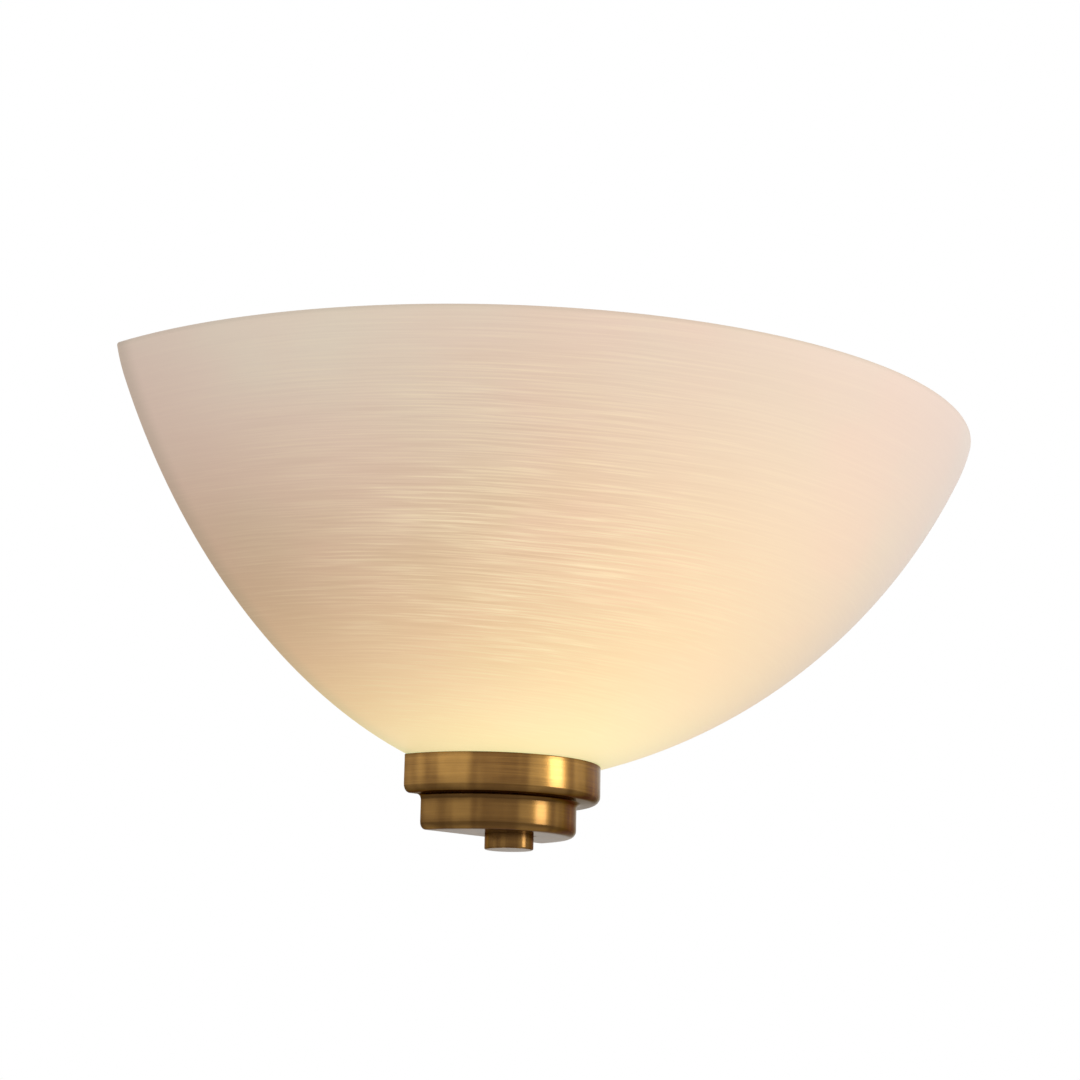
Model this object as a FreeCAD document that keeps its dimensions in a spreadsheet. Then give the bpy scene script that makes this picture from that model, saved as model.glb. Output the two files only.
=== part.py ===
import FreeCAD, Part
import math
import os
import types

import Sketcher
from FreeCAD import Placement, Rotation, Vector

# Uplighter wall sconce: a half bowl of painted glass in a stepped brass cup, drawn up by a
# knob on a stud under a wall plate, which also carries one lamp inside the bowl.
#
# The wall is the plane y = 0, the sconce stands out from it towards -Y, and +Z is up. The
# origin lies on the wall, midway between the two slots for the wall screws.

# ---------------------------------------------------------------- driving dimensions

sizes = {
    # Glass half bowl: a flat floor, a wide lower arc and a tighter arc up to the rim.
    "shade_radius": 150.0,
    "shade_height": 103.7,
    "floor_drop": 61.0,
    "foot_radius": 23.3,
    "foot_slope": 11.3,
    "rim_slope": 76.8,
    "rim_arc_radius": 43.3,
    "glass_wall": 4.0,
    "glass_hole_radius": 4.5,
    # Spun brass half cup, with an upper and a lower step.
    "cup_upper_radius": 35.4,
    "cup_lower_radius": 28.1,
    "cup_wall": 1.0,
    "cup_step_drop": 8.8,
    "cup_depth": 19.2,
    "cup_shoulder_radius": 1.4,
    "cup_neck_radius": 1.6,
    "cup_base_radius": 1.2,
    "cup_mouth_gap": 0.3,
    # Stud, nuts and the plates that clamp the glass.
    "stud_reach": 10.3,
    "stud_radius": 3.0,
    "stud_overrun": 2.0,
    "stud_hole_clearance": 0.3,
    "nut_height": 5.0,
    "nut_flats": 10.0,
    "gasket_radius": 17.0,
    "gasket_thickness": 1.5,
    "clamp_plate_radius": 19.0,
    "clamp_plate_thickness": 1.5,
    "clamp_edge_gap": 1.0,
    "spacer_wall": 1.3,
    # Knob under the cup, with a spigot up into the spacer and a blind tapped bore.
    "knob_radius": 7.5,
    "knob_height": 4.5,
    "knob_edge_radius": 0.5,
    "spigot_radius": 4.8,
    "spigot_length": 6.0,
    "spigot_clearance": 0.3,
    "knob_bore_depth": 9.0,
    "knob_bore_gap": 0.7,
    "thread_clearance": 0.05,
    # Pressed wall plate.
    "plate_width": 110.0,
    "plate_height": 76.0,
    "plate_thickness": 1.5,
    "plate_depth": 6.0,
    "plate_bend_radius": 2.0,
    "slot_spacing": 90.0,
    "slot_length": 10.0,
    "slot_radius": 2.5,
    "cable_hole_radius": 7.0,
    "cable_hole_side": 36.0,
    "cable_hole_drop": 22.0,
    "grommet_bore_radius": 4.5,
    "grommet_flange_radius": 9.5,
    "grommet_flange_thickness": 3.0,
    "grommet_edge_radius": 1.0,
    "grommet_clearance": 0.2,
    # Support arm, a steel angle.
    "arm_width": 24.0,
    "arm_thickness": 2.0,
    "arm_leg_height": 35.0,
    "arm_reach": 24.0,
    "arm_bend_radius": 1.5,
    "arm_screw_drop": 19.5,
    "arm_screw_spacing": 11.5,
    # Screws of the plate: countersunk in the arm, pan heads elsewhere.
    "screw_radius": 2.0,
    "screw_hole_clearance": 0.2,
    "screw_back_gap": 0.2,
    "sunk_head_radius": 3.6,
    "sunk_head_depth": 1.6,
    "pan_head_radius": 4.0,
    "pan_head_height": 2.6,
    "pan_head_edge_radius": 0.9,
    "screw_slot_width": 1.0,
    "screw_slot_depth": 1.1,
    # How far a groove or a driver slot is cut past the sides of its piece.
    "cut_overrun": 1.0,
    # Bridge strap across the plate, and the lamp's axis.
    "lamp_height": 10.0,
    "bridge_width": 20.0,
    "bridge_thickness": 1.5,
    "bridge_gap": 10.0,
    "bridge_span": 44.0,
    "bridge_foot_length": 12.0,
    "bridge_bend_radius": 1.5,
    # Hollow nipple with its nut and washer.
    "nipple_radius": 5.0,
    "nipple_bore_radius": 3.8,
    "nipple_back_overrun": 0.5,
    "nipple_grip_length": 7.0,
    "nipple_nut_flats": 14.0,
    "nipple_nut_height": 3.0,
    "nipple_washer_radius": 8.5,
    "nipple_washer_thickness": 0.6,
    # Lampholder, from its cap to the rim of its skirt.
    "cap_neck_radius": 7.5,
    "cap_neck_length": 4.0,
    "cap_radius": 14.0,
    "cap_length": 18.0,
    "cap_shoulder_radius": 6.0,
    "cap_wall": 1.6,
    "cap_socket_depth": 8.0,
    "cap_ledge_depth": 9.8,
    "cap_ledge_radius": 10.0,
    "core_flange_thickness": 1.7,
    "core_seat_gap": 0.2,
    "core_length": 3.5,
    "core_side_clearance": 0.3,
    "core_cup_radius": 9.4,
    "core_cup_length": 6.0,
    "skirt_thread_clearance": 0.2,
    "skirt_wall": 1.4,
    "skirt_collar_length": 2.4,
    "skirt_radius": 12.8,
    "skirt_length": 19.6,
    "skirt_lip_thickness": 1.4,
    "skirt_mouth_radius": 8.6,
    "skirt_edge_radius": 1.0,
    "shell_inner_radius": 7.15,
    "shell_wall": 0.4,
    "shell_length": 22.0,
    "wire_hole_radius": 1.2,
    "wire_hole_depth": 2.5,
    "spring_width": 4.0,
    "spring_thickness": 0.4,
    "spring_foot_length": 5.5,
    "spring_heel_length": 1.8,
    "spring_tip_length": 2.8,
    "spring_rise": 1.7,
    "spring_gap": 0.2,
    # Golf-ball lamp with a small screw cap.
    "button_height": 1.2,
    "button_radius": 2.6,
    "insulator_height": 3.4,
    "insulator_radius": 5.2,
    "bulb_cap_length": 17.0,
    "bulb_cap_radius": 6.9,
    "bulb_cap_foot_radius": 5.5,
    "bulb_cap_foot_height": 2.4,
    "bulb_cap_wall": 0.4,
    "ball_radius": 22.5,
    "ball_centre_rise": 30.8,
    "bulb_neck_radius": 6.2,
    "bulb_neck_depth": 5.0,
    "bulb_neck_rise": 1.0,
    "bulb_glass_wall": 0.8,
    "stem_radius": 2.0,
    "stem_foot_radius": 5.2,
    "stem_foot_height": 1.2,
    "stem_length": 20.0,
    "lead_radius": 0.4,
    "lead_spread": 1.0,
    "lead_length": 13.0,
    "filament_ring_radius": 8.0,
    "filament_radius": 0.3,
    # Three-pole terminal block with brass tubes.
    "block_side": 18.0,
    "block_width": 17.0,
    "block_top_drop": 2.0,
    "block_depth": 13.5,
    "pole_pitch": 10.0,
    "pole_depth": 6.0,
    "pole_groove_width": 2.0,
    "pole_groove_depth": 5.0,
    "tube_radius": 2.6,
    "tube_bore_radius": 1.6,
    "tube_length": 15.0,
    "tube_clearance": 0.1,
    "clamp_screw_radius": 1.5,
    "clamp_screw_spacing": 8.0,
    "clamp_screw_sink": 1.5,
    "clamp_slot_width": 0.6,
    "clamp_screw_well_clearance": 0.5,
    "block_screw_radius": 1.5,
    "block_screw_head_radius": 2.7,
    "block_screw_head_height": 2.0,
    "block_screw_sink": 6.0,
    # Earth point and inner leads.
    "earth_side": 19.0,
    "earth_drop": 14.0,
    "tag_radius": 4.4,
    "tag_thickness": 0.8,
    "tag_strap_width": 3.4,
    "tag_strap_lap": 2.0,
    "tag_barrel_drop": 6.0,
    "tag_barrel_length": 6.0,
    "tag_barrel_radius": 1.7,
    "tag_barrel_bore": 1.1,
    "earth_washer_radius": 4.2,
    "earth_washer_thickness": 0.8,
    "lead_wire_radius": 0.9,
    "lead_wire_spread": 2.4,
    "wire_straight_length": 3.0,
}

document = FreeCAD.newDocument("uplighter_wall_sconce")
sheet = document.addObject("Spreadsheet::Sheet", "Sizes")
for row, (name, number) in enumerate(sizes.items(), start=1):
    sheet.set("A%d" % row, str(number))
    sheet.setAlias("A%d" % row, name)
document.recompute()


class Size:
    """A length that keeps its number together with the formula that names it."""

    def __init__(self, number, formula):
        self.number = number
        self.formula = formula

    def joined(self, sign, other, number):
        return Size(number, "(%s %s %s)" % (self.formula, sign, as_size(other).formula))

    def __add__(self, other):
        return self.joined("+", other, self.number + as_size(other).number)

    def __sub__(self, other):
        return self.joined("-", other, self.number - as_size(other).number)

    def __mul__(self, other):
        return self.joined("*", other, self.number * as_size(other).number)

    def __truediv__(self, other):
        return self.joined("/", other, self.number / as_size(other).number)

    def __radd__(self, other):
        return as_size(other) + self

    def __rsub__(self, other):
        return as_size(other) - self

    def __rmul__(self, other):
        return as_size(other) * self

    def __neg__(self):
        return Size(-self.number, "(-%s)" % self.formula)


def as_size(thing):
    return thing if isinstance(thing, Size) else Size(float(thing), "(%r)" % float(thing))


def root(square):
    return Size(math.sqrt(square.number), "sqrt(%s)" % square.formula)


def sine(degrees):
    return Size(math.sin(math.radians(degrees.number)), "sin(%s)" % degrees.formula)


def cosine(degrees):
    return Size(math.cos(math.radians(degrees.number)), "cos(%s)" % degrees.formula)


mm = types.SimpleNamespace(**{name: Size(number, "Sizes." + name)
                              for name, number in sizes.items()})
ZERO = as_size(0)
parts = []


# ---------------------------------------------------------------- drawing helpers

def bow(radius, turn):
    """The edge to the next corner is an arc that turns left (1) or right (-1)."""
    return ("bow", radius, turn)


def toward(start, end):
    """The signs of the step from one corner to the next along each axis."""
    steps = (end[0].number - start[0].number, end[1].number - start[1].number)
    return [0 if abs(step) < 1e-6 else math.copysign(1, step) for step in steps]


def expanded(steps):
    """Corners and edges of an outline, with each rounded square corner as an arc."""
    plain = [step for step in steps if step[0] != "bow"]
    corners, edges = [], []
    place = 0
    for step in steps:
        if step[0] == "bow":
            edges[-1] = (step[1], step[2])
            continue
        corner = (as_size(step[0]), as_size(step[1]))
        if len(step) == 2:
            corners.append(corner)
            edges.append(None)
        else:
            before = [as_size(value) for value in plain[place - 1][:2]]
            after = [as_size(value) for value in plain[(place + 1) % len(plain)][:2]]
            back, onward = toward(corner, before), toward(corner, after)
            turn = -(back[0] * onward[1] - back[1] * onward[0])
            corners.append(tuple(corner[axis] + back[axis] * step[2] for axis in (0, 1)))
            edges.append((step[2], turn))
            corners.append(tuple(corner[axis] + onward[axis] * step[2] for axis in (0, 1)))
            edges.append(None)
        place += 1
    return corners, edges


def arc_between(start, end, radius, turn):
    """The shorter arc of this radius from start to end, turning left or right."""
    chord = end - start
    rise = math.sqrt(max(radius ** 2 - (chord.Length / 2) ** 2, 0))
    side = Vector(-chord.y, chord.x, 0).normalize() * (turn * rise)
    centre = (start + end) / 2 + side
    first, last = (start, end) if turn > 0 else (end, start)
    angles = [math.atan2(point.y - centre.y, point.x - centre.x) for point in (first, last)]
    return Part.ArcOfCircle(Part.Circle(centre, Vector(0, 0, 1), radius), *angles)


def bind(sketch, kind, elements, value):
    """Add a dimension to the sketch and tie it to the sheet."""
    number = sketch.addConstraint(Sketcher.Constraint(kind, *elements, value.number))
    sketch.setExpression("Constraints[%d]" % number, value.formula)


def draw_outline(sketch, steps):
    corners, edges = expanded(steps)
    ends = []
    for place, edge in enumerate(edges):
        start = Vector(*[value.number for value in corners[place]], 0)
        end = Vector(*[value.number for value in corners[(place + 1) % len(corners)]], 0)
        if edge is None:
            index = sketch.addGeometry(Part.LineSegment(start, end), False)
            ends.append((index, 1, 2))
        else:
            arc = arc_between(start, end, as_size(edge[0]).number, edge[1])
            index = sketch.addGeometry(arc, False)
            ends.append((index, 1, 2) if edge[1] > 0 else (index, 2, 1))
    for place, (index, first, last) in enumerate(ends):
        following = ends[(place + 1) % len(ends)]
        sketch.addConstraint(
            Sketcher.Constraint("Coincident", index, last, following[0], following[1]))
        bind(sketch, "DistanceX", (-1, 1, index, first), corners[place][0])
        bind(sketch, "DistanceY", (-1, 1, index, first), corners[place][1])
        if edges[place] is not None:
            bind(sketch, "Radius", (index,), as_size(edges[place][0]))


def draw_circle(sketch, x, y, radius):
    x, y = as_size(x), as_size(y)
    circle = Part.Circle(Vector(x.number, y.number, 0), Vector(0, 0, 1), radius.number)
    index = sketch.addGeometry(circle, False)
    bind(sketch, "DistanceX", (-1, 1, index, 3), x)
    bind(sketch, "DistanceY", (-1, 1, index, 3), y)
    bind(sketch, "Radius", (index,), radius)


def rectangle(left, bottom, right, top):
    return [(left, bottom), (right, bottom), (right, top), (left, top)]


def hexagon(flats):
    """A nut's outline about the origin, with two flats facing along the y axis."""
    half = flats / 2
    side = half * math.tan(math.radians(30))
    return [(2 * side, 0), (side, half), (-side, half), (-2 * side, 0), (-side, -half),
            (side, -half)]


def slot(x, y, length, radius):
    """A slot along x: two straight sides and four quarter arcs."""
    left, right = x - (length / 2 - radius), x + (length / 2 - radius)
    return [(left, y - radius), (right, y - radius), bow(radius, 1), (right + radius, y),
            bow(radius, 1), (right, y + radius), (left, y + radius), bow(radius, 1),
            (left - radius, y), bow(radius, 1)]


# ---------------------------------------------------------------- feature helpers

def new_body(label):
    body = document.addObject("PartDesign::Body", label)
    body.Label = label
    return body


def new_sketch(body, plane, offset=ZERO, outlines=(), circles=()):
    """A sketch on one of the body's own planes, moved along that plane's normal."""
    sketch = body.newObject("Sketcher::SketchObject", body.Label + "_sketch")
    support = [item for item in body.Origin.OriginFeatures if item.Role == plane][0]
    sketch.AttachmentSupport = [(support, "")]
    sketch.MapMode = "FlatFace"
    sketch.setExpression("AttachmentOffset.Base.z", offset.formula)
    for outline in outlines:
        draw_outline(sketch, outline)
    for circle in circles:
        draw_circle(sketch, *circle)
    return sketch


def revolve(body, outline, angle=360):
    """Turn a half section (radius, height) about the body's z axis, towards -Y."""
    feature = body.newObject("PartDesign::Revolution", body.Label + "_turned")
    sketch = new_sketch(body, "XZ_Plane", outlines=[outline])
    feature.Profile = sketch
    feature.ReferenceAxis = (sketch, ["V_Axis"])
    feature.Angle = angle
    feature.Reversed = True
    return body


def pad(body, plane, length, offset=ZERO, outlines=(), circles=(), both_ways=False):
    feature = body.newObject("PartDesign::Pad", body.Label + "_pad")
    feature.Profile = new_sketch(body, plane, offset, outlines, circles)
    if both_ways:
        feature.SideType = "Symmetric"
    feature.setExpression("Length", length.formula)
    return body


def cut(body, plane, offset=ZERO, outlines=(), circles=(), depth=None):
    """Cut right through, or to a depth against the plane's normal."""
    feature = body.newObject("PartDesign::Pocket", body.Label + "_cut")
    feature.Profile = new_sketch(body, plane, offset, outlines, circles)
    if depth is None:
        feature.Type = "ThroughAll"
        feature.SideType = "Symmetric"
    else:
        feature.setExpression("Length", depth.formula)
    return body


UPRIGHT = Rotation()
FACING_OUT = Rotation(Vector(1, 0, 0), 90)
FACING_SIDE = Rotation(Vector(0, 1, 0), 90)


def place(thing, x=ZERO, y=ZERO, z=ZERO, turned=UPRIGHT):
    """Stand a piece at a bound place; FACING_OUT lays its z axis out along -Y."""
    spot = [as_size(value) for value in (x, y, z)]
    thing.Placement = Placement(Vector(*[value.number for value in spot]), turned)
    for axis, value in zip("xyz", spot):
        thing.setExpression("Placement.Base." + axis, value.formula)
    return thing


def keep(thing, label=None):
    """Count a finished piece among those that are written out."""
    if label is not None:
        thing.Label = label
    parts.append(thing)
    return thing


def cylinder(x, y, z, radius, height, turned=UPRIGHT):
    solid = document.addObject("Part::Cylinder", "cylinder")
    solid.setExpression("Radius", as_size(radius).formula)
    solid.setExpression("Height", as_size(height).formula)
    return place(solid, x, y, z, turned)


def box(x, y, z, length, width, height):
    solid = document.addObject("Part::Box", "box")
    for side, value in (("Length", length), ("Width", width), ("Height", height)):
        solid.setExpression(side, as_size(value).formula)
    return place(solid, x, y, z)


def joined(solids):
    union = document.addObject("Part::MultiFuse", "joined")
    union.Shapes = solids
    return union


def less(solid, tools):
    remainder = document.addObject("Part::Cut", "less")
    remainder.Base = solid
    remainder.Tool = tools[0] if len(tools) == 1 else joined(tools)
    return remainder


def group(label, solids):
    """Several like pieces that share one node."""
    bundle = document.addObject("Part::Compound", label)
    bundle.Links = solids
    return keep(bundle, label)


# ---------------------------------------------------------------- levels and places

floor_under = -mm.floor_drop
floor_top = floor_under + mm.glass_wall
rim_level = floor_under + mm.shade_height
plate_front = -mm.plate_thickness

clamp_plate_under = floor_top + mm.gasket_thickness
lower_nut_under = clamp_plate_under + mm.clamp_plate_thickness
arm_under = lower_nut_under + mm.nut_height
arm_top = arm_under + mm.arm_thickness
stud_top = arm_top + mm.nut_height + mm.stud_overrun

outer_plate_top = floor_under - mm.gasket_thickness
outer_plate_under = outer_plate_top - mm.clamp_plate_thickness
cup_under = floor_under - mm.cup_depth
cup_floor_top = cup_under + mm.cup_wall
stud_axis = -mm.stud_reach

# ---------------------------------------------------------------- glass half bowl
# The upper arc ends at the rim with the rim's slope. The lower arc starts at the edge of
# the floor with the foot's slope, and its radius is the one that meets the upper arc
# without a corner.

rim_centre_radius = mm.shade_radius - mm.rim_arc_radius * sine(mm.rim_slope)
rim_centre_level = rim_level + mm.rim_arc_radius * cosine(mm.rim_slope)
across = rim_centre_radius - mm.foot_radius
upward = rim_centre_level - floor_under
toward_centre = upward * cosine(mm.foot_slope) - across * sine(mm.foot_slope)
bowl_arc_radius = ((across * across + upward * upward - mm.rim_arc_radius * mm.rim_arc_radius)
                   / (2 * (toward_centre - mm.rim_arc_radius)))
bowl_centre_radius = mm.foot_radius - bowl_arc_radius * sine(mm.foot_slope)
bowl_centre_level = floor_under + bowl_arc_radius * cosine(mm.foot_slope)


def knee(inset):
    """Where the two arcs meet, this far inside the outer face of the glass."""
    share = (bowl_arc_radius - inset) / (bowl_arc_radius - mm.rim_arc_radius)
    return (bowl_centre_radius + (rim_centre_radius - bowl_centre_radius) * share,
            bowl_centre_level + (rim_centre_level - bowl_centre_level) * share)


def bowl_level_at(radius):
    """Height of the outer face of the lower arc at this radius."""
    sideways = radius - bowl_centre_radius
    return bowl_centre_level - root(bowl_arc_radius * bowl_arc_radius - sideways * sideways)


def reach_of_arc(centre_radius, centre_level, radius, level):
    """Radius from the bowl's axis at which an arc passes through this level."""
    drop = centre_level - level
    return centre_radius + root(radius * radius - drop * drop)


inner_rim_radius = reach_of_arc(rim_centre_radius, rim_centre_level,
                                mm.rim_arc_radius - mm.glass_wall, rim_level)
inner_foot_radius = reach_of_arc(bowl_centre_radius, bowl_centre_level,
                                 bowl_arc_radius - mm.glass_wall, floor_top)

glass_shade = new_body("glass_shade")
revolve(glass_shade, [
    (ZERO, floor_under),
    (mm.foot_radius, floor_under), bow(bowl_arc_radius, 1),
    knee(ZERO), bow(mm.rim_arc_radius, 1),
    (mm.shade_radius, rim_level),
    (inner_rim_radius, rim_level), bow(mm.rim_arc_radius - mm.glass_wall, -1),
    knee(mm.glass_wall), bow(bowl_arc_radius - mm.glass_wall, -1),
    (inner_foot_radius, floor_top),
    (ZERO, floor_top),
], angle=180)
cut(glass_shade, "XY_Plane", circles=[(ZERO, stud_axis, mm.glass_hole_radius)])
keep(glass_shade)

# ---------------------------------------------------------------- stepped brass cup
# Spun from sheet in two steps and cut in half. Its mouth follows the glass with a gap.

cup_mouth = bowl_level_at(mm.cup_upper_radius - mm.cup_wall) - mm.cup_mouth_gap
cup_step = floor_under - mm.cup_step_drop
cup_hole_radius = mm.spigot_radius + mm.spigot_clearance
cup_inner_upper = mm.cup_upper_radius - mm.cup_wall
cup_inner_lower = mm.cup_lower_radius - mm.cup_wall

stepped_cup = new_body("stepped_cup")
revolve(stepped_cup, [
    (ZERO, cup_under),
    (mm.cup_lower_radius, cup_under, mm.cup_base_radius),
    (mm.cup_lower_radius, cup_step, mm.cup_neck_radius),
    (mm.cup_upper_radius, cup_step, mm.cup_shoulder_radius),
    (mm.cup_upper_radius, cup_mouth),
    (cup_inner_upper, cup_mouth),
    (cup_inner_upper, cup_step + mm.cup_wall, mm.cup_shoulder_radius - mm.cup_wall),
    (cup_inner_lower, cup_step + mm.cup_wall, mm.cup_neck_radius + mm.cup_wall),
    (cup_inner_lower, cup_floor_top, mm.cup_base_radius - mm.cup_wall),
    (ZERO, cup_floor_top),
], angle=180)
cut(stepped_cup, "XY_Plane", circles=[(ZERO, stud_axis, cup_hole_radius)])
keep(stepped_cup)

# ---------------------------------------------------------------- stud, knob and clamp

spigot_top = cup_under + mm.spigot_length
knob_bore_radius = mm.stud_radius + mm.thread_clearance
knob_bore_under = spigot_top - mm.knob_bore_depth
stud_under = knob_bore_under + mm.knob_bore_gap
clearing_hole_radius = mm.stud_radius + mm.stud_hole_clearance

clamp_stud = new_body("clamp_stud")
pad(clamp_stud, "XY_Plane", stud_top - stud_under, stud_under,
    circles=[(ZERO, ZERO, mm.stud_radius)])
keep(place(clamp_stud, y=stud_axis))

for label, level in (("stud_top_nut", arm_top), ("stud_lower_nut", lower_nut_under)):
    nut = new_body(label)
    pad(nut, "XY_Plane", mm.nut_height, level, outlines=[hexagon(mm.nut_flats)],
        circles=[(ZERO, ZERO, knob_bore_radius)])
    keep(place(nut, y=stud_axis))


def half_disc(radius):
    """A half disc whose straight edge stays just off the wall."""
    edge = -mm.clamp_edge_gap
    half = root(radius * radius - mm.clamp_edge_gap * mm.clamp_edge_gap)
    return [(-half, edge), bow(radius, 1), (ZERO, -radius), bow(radius, 1), (half, edge)]


def clamp_disc(label, radius, thickness, under):
    disc = new_body(label)
    pad(disc, "XY_Plane", thickness, under, outlines=[half_disc(radius)],
        circles=[(ZERO, stud_axis, clearing_hole_radius)])
    keep(disc)


clamp_disc("clamp_plate", mm.clamp_plate_radius, mm.clamp_plate_thickness, clamp_plate_under)
clamp_disc("inner_gasket", mm.gasket_radius, mm.gasket_thickness, floor_top)
clamp_disc("outer_gasket", mm.gasket_radius, mm.gasket_thickness, outer_plate_top)
clamp_disc("outer_plate", mm.clamp_plate_radius, mm.clamp_plate_thickness, outer_plate_under)

spacer_bore_radius = cup_hole_radius
spacer_tube = new_body("spacer_tube")
pad(spacer_tube, "XY_Plane", outer_plate_under - cup_floor_top, cup_floor_top,
    circles=[(ZERO, ZERO, spacer_bore_radius + mm.spacer_wall),
             (ZERO, ZERO, spacer_bore_radius)])
keep(place(spacer_tube, y=stud_axis))

knob_under = cup_under - mm.knob_height
finial_knob = new_body("finial_knob")
revolve(finial_knob, [
    (ZERO, knob_under),
    (mm.knob_radius, knob_under, mm.knob_edge_radius),
    (mm.knob_radius, cup_under),
    (mm.spigot_radius, cup_under),
    (mm.spigot_radius, spigot_top),
    (knob_bore_radius, spigot_top),
    (knob_bore_radius, knob_bore_under),
    (ZERO, knob_bore_under),
])
keep(place(finial_knob, y=stud_axis))

# ---------------------------------------------------------------- wall plate and grommet

half_plate = mm.plate_width / 2
tapped_radius = mm.screw_radius + mm.thread_clearance
free_radius = mm.screw_radius + mm.screw_hole_clearance
plate_bend_inside = mm.plate_bend_radius
plate_bend_outside = mm.plate_bend_radius + mm.plate_thickness
arm_screw_levels = (-mm.arm_screw_drop, -(mm.arm_screw_drop + mm.arm_screw_spacing))
foot_screw_side = mm.bridge_span / 2 + mm.bridge_foot_length / 2
block_middle = mm.block_side + mm.block_width / 2
pole_levels = [-(mm.block_top_drop + mm.pole_pitch * (number + 0.5)) for number in range(3)]
block_screw_level = (pole_levels[0] + pole_levels[1]) / 2

wall_plate = new_body("wall_plate")
pad(wall_plate, "XY_Plane", mm.plate_height, both_ways=True, outlines=[[
    (-half_plate, -mm.plate_depth),
    (-half_plate + mm.plate_thickness, -mm.plate_depth),
    (-half_plate + mm.plate_thickness, plate_front, plate_bend_inside),
    (half_plate - mm.plate_thickness, plate_front, plate_bend_inside),
    (half_plate - mm.plate_thickness, -mm.plate_depth),
    (half_plate, -mm.plate_depth),
    (half_plate, ZERO, plate_bend_outside),
    (-half_plate, ZERO, plate_bend_outside),
]])
cut(wall_plate, "XZ_Plane", outlines=[
    slot(side * mm.slot_spacing / 2, ZERO, mm.slot_length, mm.slot_radius)
    for side in (-1, 1)
])
cut(wall_plate, "XZ_Plane", circles=[
    (-mm.cable_hole_side, -mm.cable_hole_drop, mm.cable_hole_radius),
    (ZERO, arm_screw_levels[0], tapped_radius),
    (ZERO, arm_screw_levels[1], tapped_radius),
    (-foot_screw_side, mm.lamp_height, tapped_radius),
    (foot_screw_side, mm.lamp_height, tapped_radius),
    (-mm.earth_side, -mm.earth_drop, tapped_radius),
    (block_middle, block_screw_level, mm.block_screw_radius + mm.thread_clearance),
])
keep(wall_plate)

cable_grommet = new_body("cable_grommet")
grommet_front = mm.plate_thickness + mm.grommet_flange_thickness
grommet_neck = mm.cable_hole_radius - mm.grommet_clearance
revolve(cable_grommet, [
    (mm.grommet_bore_radius, mm.screw_back_gap),
    (grommet_neck, mm.screw_back_gap),
    (grommet_neck, mm.plate_thickness),
    (mm.grommet_flange_radius, mm.plate_thickness),
    (mm.grommet_flange_radius, grommet_front, mm.grommet_edge_radius),
    (mm.grommet_bore_radius, grommet_front, mm.grommet_edge_radius),
])
keep(place(cable_grommet, -mm.cable_hole_side, ZERO, -mm.cable_hole_drop, FACING_OUT))

# ---------------------------------------------------------------- support arm

arm_back = plate_front
arm_leg_top = arm_under + mm.arm_leg_height
support_arm = new_body("support_arm")
pad(support_arm, "YZ_Plane", mm.arm_width, both_ways=True, outlines=[[
    (-mm.arm_reach, arm_under),
    (arm_back, arm_under, mm.arm_bend_radius + mm.arm_thickness),
    (arm_back, arm_leg_top),
    (arm_back - mm.arm_thickness, arm_leg_top),
    (arm_back - mm.arm_thickness, arm_top, mm.arm_bend_radius),
    (-mm.arm_reach, arm_top),
]])
cut(support_arm, "XY_Plane", circles=[(ZERO, stud_axis, clearing_hole_radius)])
cut(support_arm, "XZ_Plane", circles=[(ZERO, level, free_radius) for level in arm_screw_levels])
arm_front = arm_back - mm.arm_thickness
for level in arm_screw_levels:
    seat = support_arm.newObject("PartDesign::SubtractiveCone", "support_arm_seat")
    seat.setExpression("Radius1", free_radius.formula)
    seat.setExpression("Radius2", (mm.sunk_head_radius + mm.screw_hole_clearance).formula)
    seat.setExpression("Height", mm.sunk_head_depth.formula)
    place(seat, ZERO, arm_front + mm.sunk_head_depth, level, FACING_OUT)
keep(support_arm)


def screw_slot(x, y, z, width, head_radius):
    """The straight driver slot across a head whose top faces out at y."""
    half = head_radius + mm.cut_overrun
    return box(x - half, y - mm.screw_slot_depth, z - width / 2, 2 * half,
               2 * mm.screw_slot_depth, width)


def sunk_screw(x, z):
    """A countersunk screw with its head let into the arm's front face."""
    cone = document.addObject("Part::Cone", "cone")
    cone.setExpression("Radius1", mm.screw_radius.formula)
    cone.setExpression("Radius2", mm.sunk_head_radius.formula)
    cone.setExpression("Height", mm.sunk_head_depth.formula)
    place(cone, x, arm_front + mm.sunk_head_depth, z, FACING_OUT)
    shank_length = mm.plate_thickness + mm.arm_thickness - mm.screw_back_gap
    shank = cylinder(x, -mm.screw_back_gap, z, mm.screw_radius, shank_length, FACING_OUT)
    cross = screw_slot(x, arm_front, z, mm.screw_slot_width, mm.sunk_head_radius)
    return less(joined([cone, shank]), [cross])


group("arm_screws", [sunk_screw(ZERO, level) for level in arm_screw_levels])


def pan_screw(x, z, seat, radius, head_radius, head_height):
    """A slotted pan-head screw whose head rests on a face at y = seat."""
    shank_length = -seat - mm.screw_back_gap + head_height / 2
    shank = cylinder(x, -mm.screw_back_gap, z, radius, shank_length, FACING_OUT)
    head = cylinder(x, seat, z, head_radius, head_height, FACING_OUT)
    eased = document.addObject("Part::Fillet", "eased")
    eased.Base = head
    document.recompute()
    front = seat.number - head_height.number
    rims = [number for number, edge in enumerate(head.Shape.Edges, start=1)
            if abs(edge.BoundBox.YMin - front) < 1e-6 and edge.BoundBox.YLength < 1e-6]
    ease = mm.pan_head_edge_radius.number
    eased.Edges = [(number, ease, ease) for number in rims]
    cross = screw_slot(x, seat - head_height, z, mm.screw_slot_width, head_radius)
    return less(joined([shank, eased]), [cross])


# ---------------------------------------------------------------- lamp bridge

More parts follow.
